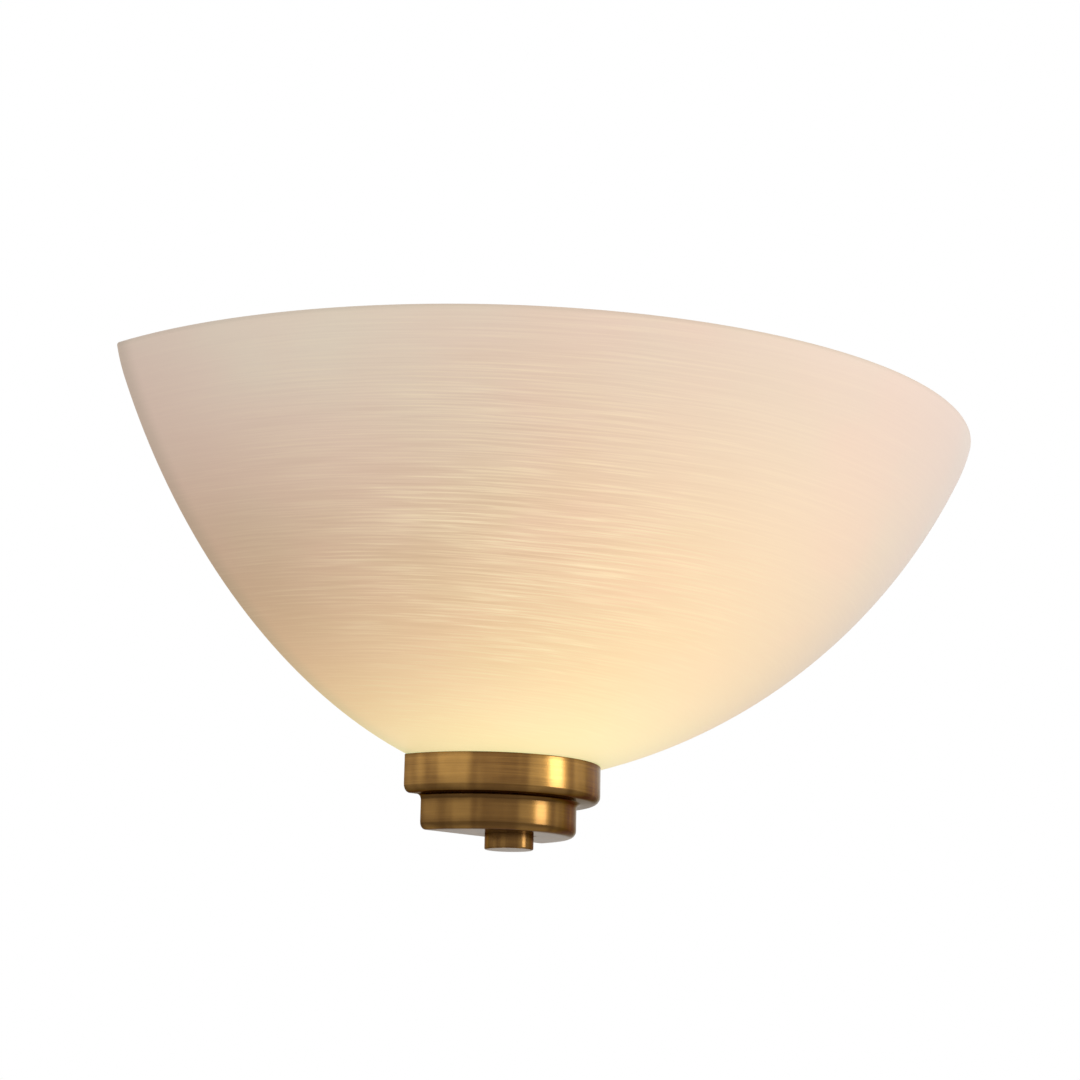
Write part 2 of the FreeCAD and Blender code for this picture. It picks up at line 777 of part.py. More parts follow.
bridge_back = mm.plate_thickness + mm.bridge_gap
bridge_front = bridge_back + mm.bridge_thickness
half_span = mm.bridge_span / 2
bridge_end = half_span + mm.bridge_foot_length
foot_front = plate_front - mm.bridge_thickness
bend_outside = mm.bridge_bend_radius + mm.bridge_thickness

lamp_bridge = new_body("lamp_bridge")
pad(lamp_bridge, "XY_Plane", mm.bridge_width, mm.lamp_height - mm.bridge_width / 2, outlines=[[
    (-bridge_end, plate_front),
    (-bridge_end, foot_front),
    (-half_span, foot_front, mm.bridge_bend_radius),
    (-half_span, -bridge_front, bend_outside),
    (half_span, -bridge_front, bend_outside),
    (half_span, foot_front, mm.bridge_bend_radius),
    (bridge_end, foot_front),
    (bridge_end, plate_front),
    (half_span - mm.bridge_thickness, plate_front, bend_outside),
    (half_span - mm.bridge_thickness, -bridge_back, mm.bridge_bend_radius),
    (-half_span + mm.bridge_thickness, -bridge_back, mm.bridge_bend_radius),
    (-half_span + mm.bridge_thickness, plate_front, bend_outside),
]])
nipple_hole_radius = mm.nipple_radius + mm.screw_hole_clearance
cut(lamp_bridge, "XZ_Plane", circles=[
    (ZERO, mm.lamp_height, nipple_hole_radius),
    (-foot_screw_side, mm.lamp_height, free_radius),
    (foot_screw_side, mm.lamp_height, free_radius),
])
keep(lamp_bridge)

group("bridge_screws", [
    pan_screw(side * foot_screw_side, mm.lamp_height, foot_front, mm.screw_radius,
              mm.pan_head_radius, mm.pan_head_height)
    for side in (-1, 1)
])

# ---------------------------------------------------------------- lampholder
# Everything on the lamp's axis is drawn upright, with the height measured out from the
# wall, and then laid down along that axis.


def on_lamp_axis(body):
    return keep(place(body, z=mm.lamp_height, turned=FACING_OUT))


nut_back = bridge_back - mm.nipple_nut_height
nipple_back = nut_back - mm.nipple_back_overrun
washer_front = bridge_front + mm.nipple_washer_thickness
nipple_front = washer_front + mm.nipple_grip_length
nipple_thread_radius = mm.nipple_radius + mm.thread_clearance

nipple = new_body("nipple")
pad(nipple, "XY_Plane", nipple_front - nipple_back, nipple_back,
    circles=[(ZERO, ZERO, mm.nipple_radius), (ZERO, ZERO, mm.nipple_bore_radius)])
on_lamp_axis(nipple)

nipple_nut = new_body("nipple_nut")
pad(nipple_nut, "XY_Plane", mm.nipple_nut_height, nut_back,
    outlines=[hexagon(mm.nipple_nut_flats)], circles=[(ZERO, ZERO, nipple_thread_radius)])
on_lamp_axis(nipple_nut)

nipple_washer = new_body("nipple_washer")
pad(nipple_washer, "XY_Plane", mm.nipple_washer_thickness, bridge_front,
    circles=[(ZERO, ZERO, mm.nipple_washer_radius), (ZERO, ZERO, nipple_hole_radius)])
on_lamp_axis(nipple_washer)

cap_back = washer_front
cap_shoulder = cap_back + mm.cap_neck_length
cap_front = cap_back + mm.cap_length
cap_inner_radius = mm.cap_radius - mm.cap_wall
cap_ledge = cap_back + mm.cap_ledge_depth

holder_cap = new_body("holder_cap")
revolve(holder_cap, [
    (nipple_thread_radius, cap_back),
    (mm.cap_neck_radius, cap_back),
    (mm.cap_neck_radius, cap_shoulder),
    (mm.cap_radius, cap_shoulder, mm.cap_shoulder_radius),
    (mm.cap_radius, cap_front),
    (cap_inner_radius, cap_front),
    (cap_inner_radius, cap_ledge),
    (mm.cap_ledge_radius, cap_ledge),
    (mm.cap_ledge_radius, cap_back + mm.cap_socket_depth),
    (nipple_thread_radius, cap_back + mm.cap_socket_depth),
])
on_lamp_axis(holder_cap)

core_back = cap_ledge + mm.core_seat_gap
core_flange_front = core_back + mm.core_flange_thickness
core_front = core_back + mm.core_length
skirt_sleeve_radius = cap_inner_radius - mm.skirt_thread_clearance
skirt_inner_radius = skirt_sleeve_radius - mm.skirt_wall
core_radius = skirt_inner_radius - mm.core_side_clearance
shell_outer_radius = mm.shell_inner_radius + mm.shell_wall
core_cup_inner = shell_outer_radius + mm.core_side_clearance

holder_skirt = new_body("holder_skirt")
skirt_front = cap_front + mm.skirt_length
revolve(holder_skirt, [
    (skirt_inner_radius, core_flange_front),
    (skirt_sleeve_radius, core_flange_front),
    (skirt_sleeve_radius, cap_front),
    (mm.cap_radius, cap_front),
    (mm.cap_radius, cap_front + mm.skirt_collar_length),
    (mm.skirt_radius, cap_front + mm.skirt_collar_length),
    (mm.skirt_radius, skirt_front, mm.skirt_edge_radius),
    (mm.skirt_mouth_radius, skirt_front),
    (mm.skirt_mouth_radius, skirt_front - mm.skirt_lip_thickness),
    (skirt_inner_radius, skirt_front - mm.skirt_lip_thickness),
])
on_lamp_axis(holder_skirt)

holder_core = new_body("holder_core")
wire_holes = [(ZERO, side * mm.lead_wire_spread, mm.wire_hole_radius) for side in (-1, 1)]
pad(holder_core, "XY_Plane", mm.core_flange_thickness, core_back,
    circles=[(ZERO, ZERO, skirt_sleeve_radius)] + wire_holes)
pad(holder_core, "XY_Plane", mm.wire_hole_depth - mm.core_flange_thickness, core_flange_front,
    circles=[(ZERO, ZERO, core_radius)] + wire_holes)
pad(holder_core, "XY_Plane", mm.core_length - mm.wire_hole_depth,
    core_back + mm.wire_hole_depth, circles=[(ZERO, ZERO, core_radius)])
pad(holder_core, "XY_Plane", mm.core_cup_length, core_front,
    circles=[(ZERO, ZERO, mm.core_cup_radius), (ZERO, ZERO, core_cup_inner)])
on_lamp_axis(holder_core)

screw_shell = new_body("screw_shell")
pad(screw_shell, "XY_Plane", mm.shell_length, core_front,
    circles=[(ZERO, ZERO, shell_outer_radius), (ZERO, ZERO, mm.shell_inner_radius)])
on_lamp_axis(screw_shell)

contact_spring = new_body("contact_spring")
spring_bend = -mm.spring_heel_length
spring_lift = core_front + mm.spring_rise
spring_top = spring_lift + mm.spring_thickness
pad(contact_spring, "YZ_Plane", mm.spring_width, both_ways=True, outlines=[[
    (-mm.spring_foot_length, core_front),
    (spring_bend, core_front),
    (ZERO, spring_lift),
    (mm.spring_tip_length, spring_lift),
    (mm.spring_tip_length, spring_top),
    (-mm.spring_thickness / 2, spring_top),
    (spring_bend - mm.spring_thickness / 2, core_front + mm.spring_thickness),
    (-mm.spring_foot_length, core_front + mm.spring_thickness),
]])
on_lamp_axis(contact_spring)

# ---------------------------------------------------------------- golf-ball lamp

button_back = spring_top + mm.spring_gap
insulator_back = button_back + mm.button_height
bulb_cap_back = insulator_back + mm.insulator_height
bulb_cap_front = bulb_cap_back + mm.bulb_cap_length
ball_centre = bulb_cap_front + mm.ball_centre_rise
neck_back = bulb_cap_front - mm.bulb_neck_depth
neck_front = bulb_cap_front + mm.bulb_neck_rise

bulb_contact = new_body("bulb_contact")
revolve(bulb_contact, [
    (ZERO, button_back),
    (mm.button_radius, button_back, mm.button_height / 2),
    (mm.button_radius, insulator_back),
    (ZERO, insulator_back),
])
on_lamp_axis(bulb_contact)

bulb_insulator = new_body("bulb_insulator")
revolve(bulb_insulator, [
    (ZERO, insulator_back),
    (mm.button_radius + mm.bulb_cap_wall, insulator_back),
    (mm.insulator_radius, bulb_cap_back),
    (ZERO, bulb_cap_back),
])
on_lamp_axis(bulb_insulator)

bulb_cap = new_body("bulb_cap")
bulb_cap_inner = mm.bulb_cap_radius - mm.bulb_cap_wall
foot_level = bulb_cap_back + mm.bulb_cap_foot_height
revolve(bulb_cap, [
    (mm.bulb_cap_foot_radius - mm.bulb_cap_wall, bulb_cap_back),
    (mm.bulb_cap_foot_radius, bulb_cap_back),
    (mm.bulb_cap_radius, foot_level),
    (mm.bulb_cap_radius, bulb_cap_front),
    (bulb_cap_inner, bulb_cap_front),
    (bulb_cap_inner, foot_level),
])
on_lamp_axis(bulb_cap)

# The neck flares out on an arc that leaves the neck along the axis and meets the ball
# without a corner.
neck_drop = ball_centre - neck_front
flare_radius = ((mm.bulb_neck_radius * mm.bulb_neck_radius + neck_drop * neck_drop
                 - mm.ball_radius * mm.ball_radius)
                / (2 * (mm.ball_radius - mm.bulb_neck_radius)))


def flare_point(inset):
    """Where flare and ball meet, this far inside the outer face of the glass."""
    share = (mm.ball_radius - inset) / (mm.ball_radius + flare_radius)
    return ((mm.bulb_neck_radius + flare_radius) * share, ball_centre - neck_drop * share)


bulb_glass = new_body("bulb_glass")
inner_neck = mm.bulb_neck_radius - mm.bulb_glass_wall
inner_ball = mm.ball_radius - mm.bulb_glass_wall
revolve(bulb_glass, [
    (inner_neck, neck_back),
    (mm.bulb_neck_radius, neck_back),
    (mm.bulb_neck_radius, neck_front), bow(flare_radius, -1),
    flare_point(ZERO), bow(mm.ball_radius, 1),
    (mm.ball_radius, ball_centre), bow(mm.ball_radius, 1),
    (ZERO, ball_centre + mm.ball_radius),
    (ZERO, ball_centre + inner_ball), bow(inner_ball, -1),
    (inner_ball, ball_centre), bow(inner_ball, -1),
    flare_point(mm.bulb_glass_wall), bow(flare_radius + mm.bulb_glass_wall, 1),
    (inner_neck, neck_front),
])
on_lamp_axis(bulb_glass)

stem_top = neck_back + mm.stem_length
bulb_stem = new_body("bulb_stem")
revolve(bulb_stem, [
    (ZERO, neck_back),
    (mm.stem_foot_radius, neck_back),
    (mm.stem_foot_radius, neck_back + mm.stem_foot_height),
    (mm.stem_radius, neck_back + mm.stem_foot_height),
    (mm.stem_radius, stem_top),
    (ZERO, stem_top),
])
on_lamp_axis(bulb_stem)

group("bulb_leads", [
    cylinder(side * mm.lead_spread, -stem_top, mm.lamp_height, mm.lead_radius,
             mm.lead_length, FACING_OUT)
    for side in (-1, 1)
])

# The filament is an open ring of wire that stands on the tops of the two leads.
filament_centre = (stem_top + mm.lead_length + mm.filament_ring_radius
                   + mm.filament_radius)
filament = document.addObject("Part::Torus", "bulb_filament")
filament.setExpression("Radius1", mm.filament_ring_radius.formula)
filament.setExpression("Radius2", mm.filament_radius.formula)
opening_angle = math.degrees(math.asin(mm.lead_spread.number / mm.filament_ring_radius.number))
filament.Angle3 = 360 - 2 * opening_angle
place(filament, ZERO, -filament_centre, mm.lamp_height,
      Rotation(Vector(0, 0, 1), 90 + opening_angle))
keep(filament, "bulb_filament")

# ---------------------------------------------------------------- terminal block

block_back = mm.plate_thickness
block_front = block_back + mm.block_depth
block_under = -(mm.block_top_drop + 3 * mm.pole_pitch)
pole_out = block_back + mm.pole_depth
well_radius = mm.clamp_screw_radius + mm.clamp_screw_well_clearance
clamp_screw_sides = [block_middle + side * mm.clamp_screw_spacing / 2 for side in (-1, 1)]
bore_radius = mm.tube_radius + mm.tube_clearance

terminal_block = new_body("terminal_block")
pad(terminal_block, "XZ_Plane", mm.block_depth, block_back,
    outlines=[rectangle(mm.block_side, block_under, mm.block_side + mm.block_width,
                        -mm.block_top_drop)])
cut(terminal_block, "YZ_Plane",
    circles=[(-pole_out, level, bore_radius) for level in pole_levels])
cut(terminal_block, "XZ_Plane", block_front, depth=block_front - pole_out,
    circles=[(x, level, well_radius) for level in pole_levels for x in clamp_screw_sides])
groove_levels = [level - mm.pole_pitch / 2 for level in pole_levels[:2]]
cut(terminal_block, "XZ_Plane", block_front, depth=mm.pole_groove_depth,
    outlines=[rectangle(mm.block_side - mm.cut_overrun, level - mm.pole_groove_width / 2,
                        mm.block_side + mm.block_width + mm.cut_overrun,
                        level + mm.pole_groove_width / 2) for level in groove_levels])
cut(terminal_block, "XZ_Plane", circles=[
    (block_middle, block_screw_level, mm.block_screw_radius + mm.screw_hole_clearance)])
block_screw_seat = block_front - mm.block_screw_sink
cut(terminal_block, "XZ_Plane", block_front, depth=mm.block_screw_sink, circles=[
    (block_middle, block_screw_level, mm.block_screw_head_radius + mm.screw_hole_clearance)])
keep(terminal_block)

tube_left = block_middle - mm.tube_length / 2
screw_tip = pole_out + mm.lead_wire_radius + mm.thread_clearance
screw_front = block_front - mm.clamp_screw_sink


def terminal_tube(level):
    """A brass tube along x, tapped for its two clamping screws."""
    outside = cylinder(tube_left, -pole_out, level, mm.tube_radius, mm.tube_length, FACING_SIDE)
    bore = cylinder(tube_left, -pole_out, level, mm.tube_bore_radius, mm.tube_length,
                    FACING_SIDE)
    tapped = [cylinder(x, -pole_out, level, mm.clamp_screw_radius + mm.thread_clearance,
                       2 * mm.tube_radius, FACING_OUT) for x in clamp_screw_sides]
    return less(outside, [bore] + tapped)


def clamping_screw(x, level):
    """A headless slotted screw that comes down on the wire."""
    shank = cylinder(x, -screw_tip, level, mm.clamp_screw_radius, screw_front - screw_tip,
                     FACING_OUT)
    cross = screw_slot(x, -screw_front, level, mm.clamp_slot_width, mm.clamp_screw_radius)
    return less(shank, [cross])


group("terminal_tubes", [terminal_tube(level) for level in pole_levels])
group("terminal_screws", [clamping_screw(x, level)
                          for level in pole_levels for x in clamp_screw_sides])
group("block_screw", [pan_screw(block_middle, block_screw_level, -block_screw_seat,
                                mm.block_screw_radius, mm.block_screw_head_radius,
                                mm.block_screw_head_height)])

# ---------------------------------------------------------------- earth point

tag_front = plate_front - mm.tag_thickness
earth_x, earth_z = -mm.earth_side, -mm.earth_drop
barrel_top = earth_z - mm.tag_barrel_drop
barrel_out = plate_front - mm.tag_barrel_radius - mm.thread_clearance
ring = cylinder(earth_x, plate_front, earth_z, mm.tag_radius, mm.tag_thickness, FACING_OUT)
strap = box(earth_x - mm.tag_strap_width / 2, tag_front, barrel_top - mm.tag_strap_lap,
            mm.tag_strap_width, mm.tag_thickness, mm.tag_barrel_drop + mm.tag_strap_lap)
barrel = cylinder(earth_x, barrel_out, barrel_top - mm.tag_barrel_length, mm.tag_barrel_radius,
                  mm.tag_barrel_length)
barrel_bore = cylinder(earth_x, barrel_out, barrel_top - mm.tag_barrel_length,
                       mm.tag_barrel_bore, mm.tag_barrel_length)
ring_hole = cylinder(earth_x, plate_front, earth_z, free_radius, mm.tag_thickness, FACING_OUT)
keep(less(joined([ring, strap, barrel]), [barrel_bore, ring_hole]), "earth_tag")

washer_disc = cylinder(earth_x, tag_front, earth_z, mm.earth_washer_radius,
                       mm.earth_washer_thickness, FACING_OUT)
washer_hole = cylinder(earth_x, tag_front, earth_z, free_radius, mm.earth_washer_thickness,
                       FACING_OUT)
keep(less(washer_disc, [washer_hole]), "earth_washer")
group("earth_screw", [pan_screw(earth_x, earth_z, tag_front - mm.earth_washer_thickness,
                                mm.screw_radius, mm.pan_head_radius, mm.pan_head_height)])

# ---------------------------------------------------------------- inner leads
# Each lead is one insulated wire: straight runs joined by arcs. The points between its
# two ends are shares of the way, chosen by hand to clear the bridge, the arm and each other.


def bent_wire(label, points, radius):
    """A wire whose arc at each point takes 0.45 of the shorter run beside it."""
    corners = [Vector(*[as_size(value).number for value in point]) for point in points]
    edges = []
    start = corners[0]
    bends = []
    for before, corner, after in zip(corners, corners[1:], corners[2:]):
        back = (before - corner).normalize()
        onward = (after - corner).normalize()
        setback = 0.45 * min((before - corner).Length, (after - corner).Length)
        half_turn = (math.pi - back.getAngle(onward)) / 2
        bend = setback / math.tan(half_turn)
        bends.append(bend)
        entry, leave = corner + back * setback, corner + onward * setback
        middle = (back + onward).normalize()
        centre = corner + middle * (bend / math.cos(half_turn))
        edges.append(Part.LineSegment(start, entry).toShape())
        edges.append(Part.Arc(entry, centre - middle * bend, leave).toShape())
        start = leave
    edges.append(Part.LineSegment(start, corners[-1]).toShape())
    path = Part.Wire(edges)
    section = Part.Wire(Part.Circle(corners[0], corners[1] - corners[0],
                                    radius.number).toShape())
    tube = path.makePipeShell([section], True, False)
    expected = math.pi * radius.number ** 2 * path.Length
    print("%s: length %.1f, radii %s, volume ratio %.4f" % (
        label, path.Length, " ".join("%.1f" % bend for bend in bends),
        tube.Volume / expected))
    wire = document.addObject("Part::Feature", label)
    wire.Shape = tube
    wire.Placement = Placement()
    return keep(wire, label)


def on_the_way(start, end, across, out, up):
    """A point by its shares of the way across and up from start to end, and of the depth
    from the plate out to the bridge."""
    return (start[0] + (end[0] - start[0]) * across,
            plate_front - mm.bridge_gap * out,
            start[2] + (end[2] - start[2]) * up)


wire_end_x = clamp_screw_sides[0] + 2 * mm.clamp_screw_radius
lead_end = -(core_back + mm.wire_hole_depth - mm.thread_clearance)
block_mouths = [(mm.block_side, -pole_out, level) for level in pole_levels]
live_hole = (ZERO, lead_end, mm.lamp_height + mm.lead_wire_spread)
neutral_hole = (ZERO, lead_end, mm.lamp_height - mm.lead_wire_spread)
barrel_mouth = (earth_x, barrel_out, barrel_top - mm.tag_barrel_length)
sag = mm.pole_pitch / 2

bent_wire("live_wire", [
    (wire_end_x, -pole_out, pole_levels[0]),
    (mm.block_side - mm.wire_straight_length, -pole_out, pole_levels[0]),
    on_the_way(block_mouths[0], live_hole, 0.47, 0.49, 0.28),
    on_the_way(block_mouths[0], live_hole, 0.47, 0.31, 0.70),
    on_the_way(block_mouths[0], live_hole, 0.69, 0.27, 0.96),
    on_the_way(block_mouths[0], live_hole, 0.88, 0.39, 1.00),
    on_the_way(block_mouths[0], live_hole, 1.00, 0.79, 1.00),
    live_hole,
], mm.lead_wire_radius)
bent_wire("neutral_wire", [
    (wire_end_x, -pole_out, pole_levels[1]),
    (mm.block_side - mm.wire_straight_length, -pole_out, pole_levels[1]),
    on_the_way(block_mouths[1], neutral_hole, 0.58, 0.51, 0.22),
    on_the_way(block_mouths[1], neutral_hole, 0.72, 0.37, 0.55),
    on_the_way(block_mouths[1], neutral_hole, 0.74, 0.29, 0.82),
    on_the_way(block_mouths[1], neutral_hole, 0.87, 0.37, 0.98),
    on_the_way(block_mouths[1], neutral_hole, 1.00, 0.75, 1.00),
    neutral_hole,
], mm.lead_wire_radius)
below = block_mouths[2][2] - sag
bent_wire("earth_wire", [
    (wire_end_x, -pole_out, pole_levels[2]),
    (mm.block_side - mm.wire_straight_length, -pole_out, pole_levels[2]),
    on_the_way(block_mouths[2], (earth_x, ZERO, below), 0.34, 0.55, 0.68),
    on_the_way(block_mouths[2], (earth_x, ZERO, below), 0.58, 0.51, 1.08),
    on_the_way(block_mouths[2], (earth_x, ZERO, below), 0.81, 0.41, 1.00),
    on_the_way(block_mouths[2], (earth_x, ZERO, below), 0.96, 0.26, 0.32),
    (barrel_mouth[0], barrel_mouth[1], barrel_mouth[2] - mm.lead_wire_radius),
    (earth_x, barrel_out, barrel_top - mm.tag_strap_lap),
], mm.lead_wire_radius)

# ---------------------------------------------------------------- check and write

document.recompute()
for thing in document.Objects:
    if "Invalid" in thing.State or "Error" in thing.State:
        raise RuntimeError("%s is %s" % (thing.Label, thing.State))
for part in parts:
    if part.Shape.isNull() or not part.Shape.isValid():
        raise RuntimeError("%s has no valid shape" % part.Label)

os.makedirs("parts", exist_ok=True)
for part in parts:
    part.Shape.exportStep("parts/%s.step" % part.Label)
print("%d pieces written" % len(parts))
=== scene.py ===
import math

import bmesh
import bpy
from mathutils import Matrix, Vector


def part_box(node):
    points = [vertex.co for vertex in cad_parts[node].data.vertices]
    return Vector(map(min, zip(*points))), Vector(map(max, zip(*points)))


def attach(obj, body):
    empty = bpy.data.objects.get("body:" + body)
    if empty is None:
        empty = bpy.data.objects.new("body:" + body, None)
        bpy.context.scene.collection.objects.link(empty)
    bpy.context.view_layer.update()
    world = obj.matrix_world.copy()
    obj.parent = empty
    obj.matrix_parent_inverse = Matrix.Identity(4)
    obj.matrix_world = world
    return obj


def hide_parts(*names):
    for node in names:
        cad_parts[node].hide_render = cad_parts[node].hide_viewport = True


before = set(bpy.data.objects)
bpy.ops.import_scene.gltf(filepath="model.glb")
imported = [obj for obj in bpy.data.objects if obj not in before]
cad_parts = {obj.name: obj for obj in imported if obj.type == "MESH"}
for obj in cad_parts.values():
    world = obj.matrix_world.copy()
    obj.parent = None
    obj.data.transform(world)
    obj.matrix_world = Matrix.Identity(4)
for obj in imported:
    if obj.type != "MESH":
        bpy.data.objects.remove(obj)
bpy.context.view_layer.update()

# ------------------------------------------------------------------ wall plate and strap
# The wall plate, the angle that carries the glass, the hat-shaped lamp bridge and the round
# clamp plates are pressed from sheet steel and bright zinc plated, with a faint bluish
# passivation, fine rolling lines and a few dull handling marks.

MM = 0.001


class Value:
    """One output of a finish, so that shader maths reads as a sum."""

    def __init__(self, finish, socket):
        self.finish = finish
        self.socket = socket

    def worked(self, operation, first, second):
        return self.finish.node("Math", {"operation": operation}, {0: first, 1: second})

    def __add__(self, other):
        return self.worked("ADD", self, other)

    __radd__ = __add__

    def __sub__(self, other):
        return self.worked("SUBTRACT", self, other)

    def __rsub__(self, other):
        return self.worked("SUBTRACT", other, self)

    def __mul__(self, other):
        return self.worked("MULTIPLY", self, other)

    __rmul__ = __mul__

    def __truediv__(self, other):
        return self.worked("DIVIDE", self, other)

    def __pow__(self, other):
        return self.worked("POWER", self, other)

    def __rpow__(self, other):
        return self.worked("POWER", other, self)


class Finish:
    """A material: constants on its shader, and the nodes that vary over the surface."""

    def __init__(self, name, constants):
        self.material = bpy.data.materials.new(name)
        self.material.use_nodes = True
        self.tree = self.material.node_tree
        self.shader = self.tree.nodes["Principled BSDF"]
        for socket, value in constants.items():
            self.shader.inputs[socket].default_value = value
        self.place = self.node("TexCoord", out="Object")

    def node(self, kind, settings=None, sockets=None, out=0):
        """Any node: its settings first, then the values or links of its sockets."""
        made = self.tree.nodes.new("ShaderNode" + kind)
        for name, value in (settings or {}).items():
            if name == "stops":
                ramp = made.color_ramp
                while len(ramp.elements) < len(value):
                    ramp.elements.new(0.5)
                for element, (position, colour) in zip(ramp.elements, value):
                    element.position = position
                    element.color = colour if len(colour) == 4 else (*colour, 1)
            else:
                setattr(made, name, value)
        for name, value in (sockets or {}).items():
            if isinstance(value, Value):
                self.tree.links.new(value.socket, made.inputs[name])
            elif isinstance(value, tuple) and len(value) == 3 and made.inputs[name].type == "RGBA":
                made.inputs[name].default_value = (*value, 1)
            else:
                made.inputs[name].default_value = value
        return Value(self, made.outputs[out])

    def feed(self, socket, value):
        self.tree.links.new(value.socket, self.shader.inputs[socket])

    def noise(self, vector, scale, detail=3.0, roughness=0.5):
        return self.node("TexNoise", {}, {"Vector": vector, "Scale": scale, "Detail": detail,
                                          "Roughness": roughness})

    def stretched(self, x, y, z):
        """The object's coordinates scaled along each axis."""
        return self.node("VectorMath", {"operation": "MULTIPLY"}, {0: self.place, 1: (x, y, z)})

    def mix(self, factor, first, second, blend="MIX"):
        return self.node("Mix", {"data_type": "RGBA", "blend_type": blend},
                         {0: factor, 6: first, 7: second}, out=2)

    def eased(self, value, low, high):
        """A smooth step from 0 to 1 as the value goes from one level to the other."""
        return self.node("MapRange", {"interpolation_type": "SMOOTHSTEP"},
                         {0: value, 1: low, 2: high})

    def bump(self, height, depth, strength=1.0):
        self.feed("Normal", self.node("Bump", {}, {"Height": height, "Distance": depth,
                                                   "Strength": strength}))


def zinc_plate(name, roll=(40, 40, 900), tint=(0.60, 0.63, 0.67)):
    """Bright zinc on sheet steel, with rolling lines along the two small scales."""
    zinc = Finish(name, {"Metallic": 1.0})
    lines = zinc.noise(zinc.stretched(*roll), 1.0, 4.0, 0.6)
    marks = zinc.noise(zinc.place, 45.0, 5.0, 0.6)
    bloom = zinc.noise(zinc.place, 14.0, 2.0)
    dull = zinc.eased(marks, 0.52, 0.72)
    plated = zinc.mix(bloom, tint, (0.70, 0.69, 0.66))
    zinc.feed("Base Color", zinc.mix(dull * 0.45, plated, (0.36, 0.37, 0.38)))
    zinc.feed("Roughness", 0.24 + lines * 0.16 + dull * 0.18)
    zinc.bump(lines, 0.02 * MM, 0.6)
    return zinc.material


def dress(node, material, bevel=0.0):
    """Give a CAD node its finish, and break its sharp edges where that is asked for."""
    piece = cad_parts[node]
    piece.data.materials.clear()
    piece.data.materials.append(material)
    if bevel:
        edge = piece.modifiers.new("broken_edges", "BEVEL")
        edge.width = bevel
        edge.segments = 2
        edge.limit_method = "ANGLE"
        edge.angle_limit = math.radians(50)


upright_zinc = zinc_plate("zinc_upright")
level_zinc = zinc_plate("zinc_level", roll=(900, 40, 40))
for plate in ("wall_plate", "support_arm", "lamp_bridge"):
    dress(plate, upright_zinc)
for plate in ("clamp_plate", "outer_plate", "spacer_tube"):
    dress(plate, level_zinc)

# ------------------------------------------------------------------ rubber parts
# A black rubber bush lines the cable hole, and two grey rubber discs cushion the glass
# between its clamp plates. The bush is moulded and the discs are cut from sheet.


def rubber(name, colour, dust):
    """Matt rubber with a fine grain and a little dust in it."""
    skin = Finish(name, {"Specular IOR Level": 0.35})
    grain = skin.noise(skin.place, 2600.0, 2.0)
    cloud = skin.noise(skin.place, 160.0, 4.0)
    skin.feed("Base Color", skin.mix(cloud, colour, dust))
    skin.feed("Roughness", 0.62 + cloud * 0.25)
    skin.bump(grain, 0.03 * MM)
    return skin.material


dress("cable_grommet", rubber("black_rubber", (0.012, 0.012, 0.013), (0.05, 0.05, 0.05)))
grey_sheet = rubber("grey_rubber", (0.10, 0.10, 0.105), (0.2, 0.2, 0.2))
for gasket in ("inner_gasket", "outer_gasket"):
    dress(gasket, grey_sheet)

# ------------------------------------------------------------------ screws and washers
# The small screws are slotted steel, and they and their washers are zinc plated and passivated
# to a faint straw colour. The driver has dulled the plating in patches.


def plated_steel(name, tint, dull_tint):
    """Passivated zinc on turned steel, dulled here and there."""
    plating = Finish(name, {"Metallic": 1.0})
    patches = plating.noise(plating.place, 420.0, 4.0, 0.6)
    turning = plating.noise(plating.stretched(1500, 9000, 1500), 1.0, 2.0)
    dull = plating.eased(patches, 0.48, 0.70)
    plating.feed("Base Color", plating.mix(dull * 0.6, tint, dull_tint))
    plating.feed("Roughness", 0.22 + turning * 0.14 + dull * 0.16)
    plating.bump(turning, 0.01 * MM, 0.5)
    return plating.material


straw_zinc = plated_steel("straw_zinc", (0.68, 0.63, 0.50), (0.42, 0.39, 0.33))
for small_part in ("arm_screws", "bridge_screws", "block_screw", "terminal_screws",
                   "earth_screw", "earth_washer", "nipple_washer"):
    dress(small_part, straw_zinc)

# ------------------------------------------------------------------ clamp stud, nipple and nuts
# A threaded M6 rod hangs from the angle between two hexagon nuts and takes the knob at its
# lower end. The lampholder's hollow M10 nipple has a flat nut of its own on the bridge.

STUD_PITCH = 1.0 * MM
THREAD_DEPTH = 0.5 * MM
NUT_FLATS = 10.0 * MM
NIPPLE_NUT_FLATS = 14.0 * MM
NIPPLE_LEVEL = 10.0 * MM
GIRTH_STEPS = 48

bright_zinc = plated_steel("bright_zinc", (0.66, 0.67, 0.68), (0.40, 0.40, 0.40))


def new_piece(name, mesh_builder, material, smooth_under=35):
    """A mesh object from a bmesh, smooth shaded except at its sharp edges."""
    bmesh.ops.remove_doubles(mesh_builder, verts=mesh_builder.verts, dist=1e-7)
    bmesh.ops.dissolve_degenerate(mesh_builder, edges=mesh_builder.edges, dist=1e-8)
    bmesh.ops.recalc_face_normals(mesh_builder, faces=mesh_builder.faces)
    mesh = bpy.data.meshes.new(name)
    mesh_builder.to_mesh(mesh)
    mesh_builder.free()
    mesh.shade_smooth()
    mesh.set_sharp_from_angle(angle=math.radians(smooth_under))
    mesh.materials.append(material)
    piece = bpy.data.objects.new(name, mesh)
    bpy.context.scene.collection.objects.link(piece)
    return piece


def fit(piece, body, slot, *nodes):
    """A piece rides on its body and stands for its CAD nodes. Its slot is not used."""
    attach(piece, body)
    if nodes:
        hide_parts(*nodes)


